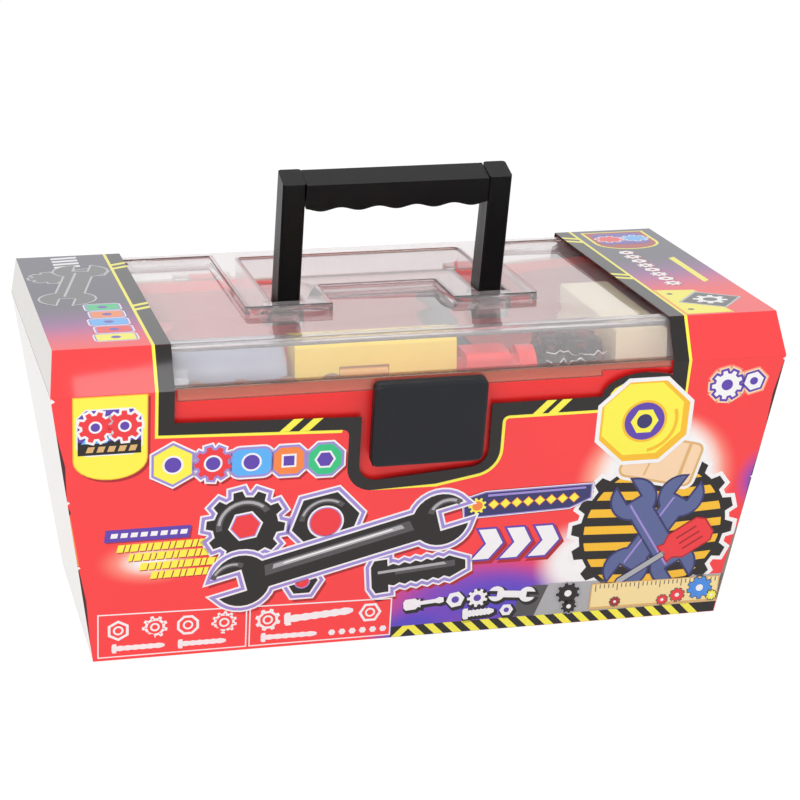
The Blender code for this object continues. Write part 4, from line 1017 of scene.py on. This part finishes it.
def print_workbench(face):
    """Bench under the badge: grey top, pale board with ruler marks, and cogs on it."""
    face.ink("graphite", 1, [(47, 6), (72, 6), (73, 21.6), (56, 22.2), (50, 17)])
    face.ink("grey", 2, [(58, 5.6), (147.7, 5.6), (149.7, 20.8), (64, 22.6)])
    board = (116.2, 13.2, -0.6)
    face.ink("tan", 17, moved(leaning(-31.5, -7, 63, 14, 0), *board))
    face.ink("straw", 18, moved(leaning(-31, -5.6, 62, 12.2, 0), *board))
    for number in range(29):
        tall = 3.6 if number % 5 == 0 else 2.1
        face.ink("graphite", 19, moved(leaning(-29.5 + number * 2.1, 6.4 - tall, 0.45, tall, 0), *board))
    cogs = (
        (73.6, 16.6, 5.8, "black", 0),
        (74.6, 9.4, 3.8, "black", 12),
        (138.4, 14, 6, "blue", 10),
        (127.6, 11, 3.6, "red", 0),
        (120.4, 9, 2.6, "red", 0),
        (144.8, 9.4, 2.6, "yellow", 20),
        (97, 10, 2.4, "crimson", 0),
    )
    for x, y, radius, colour, turn in cogs:
        rim = "grey" if colour == "black" else "graphite"
        face.sticker(cog(x, y, radius, 9, 0.2, turn), 20, (rim, 0.4), (colour, 0))
        face.ink("white", 22, disc(x, y, radius * 0.30, 16))


def print_edge_shade_and_wear(face):
    """Dark strips of painted shade where the card's ends meet the front, and scuffed paper at the corners.
    """

    def edge_at(z):
        return BASE_X / MM + (RIM_X - BASE_X) / MM * z * MM / RIM_Z - 0.02

    # Umber strips: painted shade along the card's edges
    shadows = (
        (-1, 116.5, 84, 1.6), (-1, 80.4, 75, 0.9), (-1, 56, 8, 1.3), (1, 133.2, 96, 1.3), (1, 93, 50, 0.5),
    )
    for side, top, low, width in shadows:
        middle = (top + low) / 2
        strip = [(side * edge_at(z), z) for z in (low, middle, top)]
        face.ink("umber", 1, strip + [(side * (edge_at(middle) - width), middle)])
    for side, top, low, width, colour in ((-1, 76.4, 50.6, 0.8, "orange"), (1, 46, 6.4, 2, "taupe")):
        strip = [(side * edge_at(low), low), (side * edge_at(top), top)]
        strip += [(side * (edge_at(top) - width * 0.4), top), (side * (edge_at(low) - width), low)]
        face.ink(colour, 2, strip)
    nicks = ((-1, 131.9, 1.3), (-1, 82.4, 0.9), (-1, 49.4, 0.9), (1, 131.8, 0.8), (1, 72, 0.6))
    for side, z, size in nicks:
        nick = [(0, -1), (0, 1), (-side * 0.9, 0.3), (-side * 1.3, -0.2)]
        face.ink("white", 3, moved(nick, side * edge_at(z), z, scale=size))


def print_front():
    """The whole front panel."""
    print_window_frame()
    print_shield(FRONT, -155.8, -123.4, 133.1, 92.5)
    print_tiles(FRONT, -112.4, 97.8)
    print_ruler_lines(FRONT)
    print_black_tools(FRONT)
    print_badge(FRONT)
    print_chevrons(FRONT)
    print_small_tools(FRONT)
    print_panels(FRONT)
    print_hazard_strip(FRONT, -10.2, 147)
    print_big_picture(FRONT)
    print_workbench(FRONT)
    print_edge_shade_and_wear(FRONT)
    wheel, nut = (138.6, 120.2), (151.2, 121.4)
    corner_tools = (
        (cog(*wheel, 7.2, 9, 0.22), (2.6, 1.9, 1.1, 0), disc(*wheel, 2.7)),
        (polygon(*nut, 4.7, 6, 15), (2.4, 1.8, 1, 0), disc(*nut, 1.9, 18)),
    )
    for outline, margins, hole in corner_tools:
        FRONT.sticker(outline, 1, *zip(("coral", "peach", "purple", "white"), margins))
        FRONT.ink("purple", 5, hole)


def print_tops():
    """The top of the two bands."""
    print_band_frames()
    tiles = (("yellow", 17), ("red", 15), ("sky", 16), ("orange", 14), ("green", 14.5))
    for number, (colour, size) in enumerate(tiles):
        y, east = -79 + number * 13.8, -125 - number * 0.2
        tile = rounded(east - size, y, east, y + 10.8, 1.6)
        TOP.sticker(tile, 1, ("white", 1.3), ("lilac", 0.7), (colour, 0))
        TOP.ink("purple", 4, polygon(east - size / 2, y + 5.4, 2.4, 6, 30 * number))
    spanner_at = (-141, 28, 78)
    outlined = (
        (1, cog(-149, 45, 11, 9, 0.2)),
        (1, polygon(-131, 52, 8.4, 6, 10)),
        (4, moved(spanner_shape(80, 12, 5.6, 4.8), *spanner_at)),
    )
    for layer, shape in outlined:
        TOP.sticker(shape, layer, ("silver", 1.6), ("slate", 0.6))
    TOP.ink("silver", 7, moved(rectangle(-24, 1.2, 24, 2.4), *spanner_at))
    for number in range(4):
        y = 64 + number * 6.2
        TOP.ink("white", 1, [(-146.5, y), (-134, y + 1.5), (-134, y + 5), (-146.5, y + 3.5)])
    shield = [(125.5, 84.5), *arc_points(140.6, 60, 15.1, 180, 360, 12, 13), (155.7, 84.5)]
    TOP.sticker(shield, 1, ("yellow", 1.4), ("crimson", 0))
    TOP.ink("purple", 3, chamfered(128, 57, 153.5, 82, 3))
    TOP.sticker(cog(134.5, 69, 7, 8, 0.24), 4, ("white", 0.7), ("red", 0))
    TOP.sticker(cog(148, 69, 6.6, 8, 0.24, 15), 6, ("white", 0.7), ("sky", 0))
    for number in range(8):
        x, y = 133.4 + number * 0.2, 38 - number * 9.6
        outline = cog(0, 0, 4.3, 8, 0.25) if number % 2 else polygon(0, 0, 4, 6, 15)
        TOP.ink("crimson", 1, moved(outline, x + 0.6, y - 0.8))
        TOP.ink("white", 2, moved(outline, x, y), disc(x, y, 1.3, 12))
    TOP.ink("yellow", 1, [(150, 22), (153.4, 24), (153.4, -27), (150, -30)])
    panel = [(120.9, -41), (140, -44), (143.6, -88.6), (120.9, -88.6)]
    TOP.sticker(panel, 1, ("amber", 0), ("yellow", -1))
    for y in (-50, -80):
        TOP.ink("graphite", 3, disc(126, y, 1.5, 12))
    sign = (140.8, -64)
    TOP.sticker(polygon(*sign, 14.5, 4, 8), 3, ("silver", 1.3), ("graphite", 0))
    TOP.sticker(cog(*sign, 8, 8, 0.28), 5, ("white", 0))
    TOP.ink("graphite", 6, disc(*sign, 3.4, 18))


def print_back():
    """The back panel: border, hazard strip and the badges, plainer than the front."""
    edge, key = WINDOW_X, KEYLINE_X
    border = [(-edge, RIM), (-edge, SILL), (edge, SILL), (edge, RIM), (key, RIM), (key, SILL_KEYLINE)]
    border += [(-key, SILL_KEYLINE), (-key, RIM)]
    BACK.ink("black", 1, border)
    line = [(-key, RIM), (-key, SILL_KEYLINE), (key, SILL_KEYLINE), (key, RIM)]
    BACK.ink("yellow", 3, ribbon(line, KEYLINE))
    print_hazard_strip(BACK, -146.5, 147)
    print_tiles(BACK, -33.7, 97.8)
    print_black_tools(BACK)
    print_chevrons(BACK)


print_front()
print_tops()
print_back()
for face in (FRONT, BACK, SHOULDER, REAR_SHOULDER, TOP):
    face.lay()


# The moulded pieces

CLEAN_ANGLE = math.radians(0.4)
CRISP_ANGLE = 32.0


def refined(node, finish, slot, name=None):
    """A copy of a CAD node with whole faces and smooth round parts."""
    bm = bmesh.new()
    bm.from_mesh(NODES[node].data)
    bmesh.ops.remove_doubles(bm, verts=bm.verts[:], dist=MERGE)
    bmesh.ops.dissolve_limit(
        bm, angle_limit=CLEAN_ANGLE, verts=bm.verts[:], edges=bm.edges[:], use_dissolve_boundaries=False
    )
    add_piece(name or f"{node}_moulding", bm, finish, BODY_OF[node], CRISP_ANGLE, node)


PAINTED = (
    (CARD, ("sleeve_lower", "sleeve_band_left", "sleeve_band_right")),
    (STEEL, ("hinge_pin_left", "hinge_pin_right", "handle_pivot_left", "handle_pivot_right", "latch_pin")),
    (VIAL, ("level_vial",)),
    (CREAM_TOY, ("plank",)),
)
for finish, nodes in PAINTED:
    for node in nodes:
        for slot in NODES[node].material_slots:
            slot.material = finish

MOULDINGS = (
    ("lid", CLEAR_LID, "clear_plastic", "lid_shell"),
    ("tub", RED_TUB, "red_plastic", "tub_shell"),
    ("tray", SHADED_RED_TRAY, "red_plastic", "tray_shell"),
    ("handle_grip", BLACK_SATIN, "black_plastic"),
    ("handle_leg_left", BLACK_SATIN, "black_plastic"),
    ("handle_leg_right", BLACK_SATIN, "black_plastic"),
    ("latch", LATCH_SATIN, "black_plastic"),
    ("level_body", YELLOW_TOY, "yellow_plastic"),
    ("hammer_head", RED_TOY, "red_plastic"),
    ("hammer_handle", DARK_TOY, "dark_plastic"),
    ("screwdriver_handle", SMOKE_TOY, "smoke_plastic"),
    ("screwdriver_shaft", GREY_TOY, "grey_plastic"),
    ("spanner", RED_TOY, "red_plastic"),
    *((f"toy_bolt_{number}", TAN_TOY, "tan_plastic") for number in range(1, 5)),
)
for moulding in MOULDINGS:
    refined(*moulding)


BAG_LOW, BAG_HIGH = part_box("parts_bag")
BAG_MIDDLE, BAG_HALF = (BAG_LOW + BAG_HIGH) / 2, (BAG_HIGH - BAG_LOW) / 2
BAG_POWER = 3

# The bag's film: a block blown towards a ball, with ridges and finer creases
FILM_CUTS = 14
BALL_SHARE = 0.55
BALL_SIZE = 1.15
FILM_SIZE = 0.86
RIDGE_PITCH = 2.6
RIDGE_SHIFT = Vector((3.1, 0.7, 5.2))
RIDGE_LIFT = 0.09
CREASE_PITCH = 6.5
CREASE_LIFT = 0.045
FILM_REACH = 0.985

# The screws in it
SEED = 7
SCREW_COUNT = 46
SCREW_SPREAD = 0.80
HEAD_LIMIT = 0.36
TIP_LIMIT = 0.50
HEAD_RADIUS = 0.0030
HEAD_HEIGHT = 0.0024
SHANK_RADIUS = 0.0013
SHANK_TIP = 0.0011
SHANK_LENGTH = 0.0090
SHANK_MIDDLE = 0.0055
HEAD_SIDES = 6
SHANK_SIDES = 10

# The fold ridges on its front, pale as a painted highlight of the film's crinkles
FOLD_LEVELS = (0.30, 0.62, 0.95, 1.22, 1.5)
FOLD_THICK = (0.00022, 0.00040)
FOLD_STEPS = 14
FOLD_START = 0.06
FOLD_WANDER = 0.14
FOLD_STAND_OFF = 0.0002
FOLD_DEPTH = 0.10
FOLD_TAPER = (0.4, 1.2)
FOLD_OVERLAP = 1.05
FOLD_SIDES = 4


def in_bag(shares):
    """A place in the bag, from its shares of the half sizes."""
    return Vector(BAG_MIDDLE[i] + BAG_HALF[i] * shares[i] for i in range(3))


def bag_share(place):
    """How far out in the bag a place lies: 0 in its middle, 1 at its wall."""
    return sum(abs((place[i] - BAG_MIDDLE[i]) / BAG_HALF[i]) ** BAG_POWER for i in range(3))


def add_rod(bm, matrix, radius, tip, depth, segments):
    """A closed straight or tapered rod along its own Z."""
    bmesh.ops.create_cone(
        bm, cap_ends=True, segments=segments, radius1=radius, radius2=tip, depth=depth, matrix=matrix
    )


def make_film():
    """The bag's clear crinkled film."""
    bm = bmesh.new()
    bmesh.ops.create_cube(bm, size=2)
    bmesh.ops.subdivide_edges(bm, edges=bm.edges[:], cuts=FILM_CUTS, use_grid_fill=True)
    for vert in bm.verts:
        flat = vert.co.copy()
        ball = flat.normalized() * max(abs(flat.x), abs(flat.y), abs(flat.z))
        shape = flat.lerp(ball * BALL_SIZE, BALL_SHARE)
        ridge = 1.0 - abs(noise.noise(shape * RIDGE_PITCH + RIDGE_SHIFT)) * 2
        crease = 1.0 - abs(noise.noise(shape * CREASE_PITCH)) * 2
        shape *= FILM_SIZE + RIDGE_LIFT * ridge + CREASE_LIFT * crease
        vert.co = in_bag([max(-FILM_REACH, min(FILM_REACH, number)) for number in shape])
    bmesh.ops.recalc_face_normals(bm, faces=bm.faces[:])
    add_piece("parts_bag_film", bm, FILM, "tub_body", 180.0, "parts_bag")


def make_screws(spots):
    """Dark screws that lie in all directions inside the film."""
    bm = bmesh.new()
    placed = 0
    while placed < SCREW_COUNT:
        place = in_bag([spots.uniform(-SCREW_SPREAD, SCREW_SPREAD) for axis in range(3)])
        spin = Matrix.Rotation(spots.uniform(0, math.tau), 4, "Z")
        turn = spin @ Matrix.Rotation(spots.uniform(0, math.pi), 4, "X")
        head = Matrix.Translation(place) @ turn
        tip = head @ Vector((0.0, 0.0, SHANK_MIDDLE + SHANK_LENGTH / 2))
        if bag_share(place) > HEAD_LIMIT or bag_share(tip) > TIP_LIMIT:
            continue
        placed += 1
        shank = head @ Matrix.Translation((0.0, 0.0, SHANK_MIDDLE))
        add_rod(bm, head, HEAD_RADIUS, HEAD_RADIUS, HEAD_HEIGHT, HEAD_SIDES)
        add_rod(bm, shank, SHANK_RADIUS, SHANK_TIP, SHANK_LENGTH, SHANK_SIDES)
    add_piece("parts_bag_pieces", bm, DARK_TOY, "tub_body")


def make_fold_highlights(spots):
    """Wandering fold ridges across the film's front, their pale colour a painted highlight."""
    bm = bmesh.new()
    for level in FOLD_LEVELS:
        thick = spots.uniform(*FOLD_THICK)
        line = []
        for step in range(FOLD_STEPS + 1):
            along = FOLD_START + (1 - 2 * FOLD_START) * step / FOLD_STEPS
            x = BAG_LOW.x + (BAG_HIGH.x - BAG_LOW.x) * along
            z = BAG_LOW.z + BAG_HALF.z * (level + spots.uniform(-FOLD_WANDER, FOLD_WANDER))
            y = BAG_LOW.y - FOLD_STAND_OFF + BAG_HALF.y * FOLD_DEPTH * spots.random()
            line.append(Vector((x, y, z)))
        for near, far in zip(line[:-1], line[1:]):
            way = far - near
            turn = way.to_track_quat("Z", "Y").to_matrix().to_4x4()
            matrix = Matrix.Translation((near + far) / 2) @ turn
            tip = thick * spots.uniform(*FOLD_TAPER)
            add_rod(bm, matrix, thick, tip, way.length * FOLD_OVERLAP, FOLD_SIDES)
    add_piece("parts_bag_fold_highlights", bm, FOLD_HIGHLIGHT, "tub_body")


spots = random.Random(SEED)
make_film()
make_screws(spots)
make_fold_highlights(spots)


# Floor, light and camera

FLOOR_SIZE = 6.0
FLOOR_DROP = 0.0002
FLOOR_COLOUR = (0.93, 0.93, 0.93)
FLOOR_ROUGHNESS = 0.9
FLOOR_GLOW = 1.10
FLOOR_GLOW_SHARE = 0.80


def seen_directly(tree):
    """A mask that is 1 for what the camera sees, also in a reflection or through a clear piece."""
    path = add_node(tree, "LightPath").outputs
    seen = math_node(tree, "MAXIMUM", path["Is Camera Ray"], path["Is Glossy Ray"])
    return math_node(tree, "MAXIMUM", seen, path["Is Transmission Ray"])


def make_floor():
    """A plain white floor that keeps the box's shadow and looks white to the camera."""
    bm = bmesh.new()
    bmesh.ops.create_grid(bm, x_segments=1, y_segments=1, size=FLOOR_SIZE)
    bmesh.ops.translate(bm, verts=bm.verts[:], vec=(0.0, 0.0, -FLOOR_DROP))
    made, tree, shader, place = start_material("floor_white")
    looks = {"Base Color": FLOOR_COLOUR, "Roughness": FLOOR_ROUGHNESS, "Specular IOR Level": 0.0}
    feed_all(tree, shader, looks)
    glow = add_node(tree, "Emission", {"Strength": FLOOR_GLOW})
    mix_shaders(tree, math_node(tree, "MULTIPLY", seen_directly(tree), FLOOR_GLOW_SHARE), shader, glow)
    floor = keep("floor", bm, made, smooth=None)


def make_world():
    """White all round; the camera, glossy and clear surfaces see pure white."""
    world = bpy.data.worlds.new("studio")
    bpy.context.scene.world = world
    world.use_nodes = True
    tree = world.node_tree
    strength = range_node(tree, seen_directly(tree), 0.0, 1.0, WORLD_LIGHT, 1.0, "LINEAR")
    feed_all(tree, tree.nodes["Background"], {"Color": (1.0, 1.0, 1.0), "Strength": strength})


def make_lamp(name, place, aim, size, power):
    """A soft lamp, its width and height given, that looks at a point."""
    lamp = bpy.data.lights.new(name, "AREA")
    lamp.shape = "RECTANGLE"
    lamp.size, lamp.size_y = size
    lamp.energy = power
    holder = bpy.data.objects.new(name, lamp)
    holder.location = place
    holder.rotation_euler = (aim - Vector(place)).to_track_quat("-Z", "Y").to_euler()
    bpy.context.scene.collection.objects.link(holder)


def make_camera():
    """The camera at the photograph's angle."""
    az, el = CAMERA_AZIMUTH, CAMERA_ELEVATION
    back = Vector((math.sin(az) * math.cos(el), -math.cos(az) * math.cos(el), math.sin(el)))
    right = Vector((math.cos(az), math.sin(az), 0.0))
    turned = Matrix.Rotation(CAMERA_ROLL, 3, back)
    matrix = Matrix((turned @ right, turned @ back.cross(right), back)).transposed().to_4x4()
    matrix.translation = CAMERA_TARGET + back * CAMERA_DISTANCE
    data = bpy.data.cameras.new("camera")
    data.lens = CAMERA_LENS
    data.sensor_width = CAMERA_SENSOR
    holder = bpy.data.objects.new("camera", data)
    holder.matrix_world = matrix
    bpy.context.scene.collection.objects.link(holder)
    bpy.context.scene.camera = holder


make_floor()
make_world()
for lamp in LAMPS:
    make_lamp(*lamp)
make_camera()
bpy.context.scene.view_settings.view_transform = "Standard"
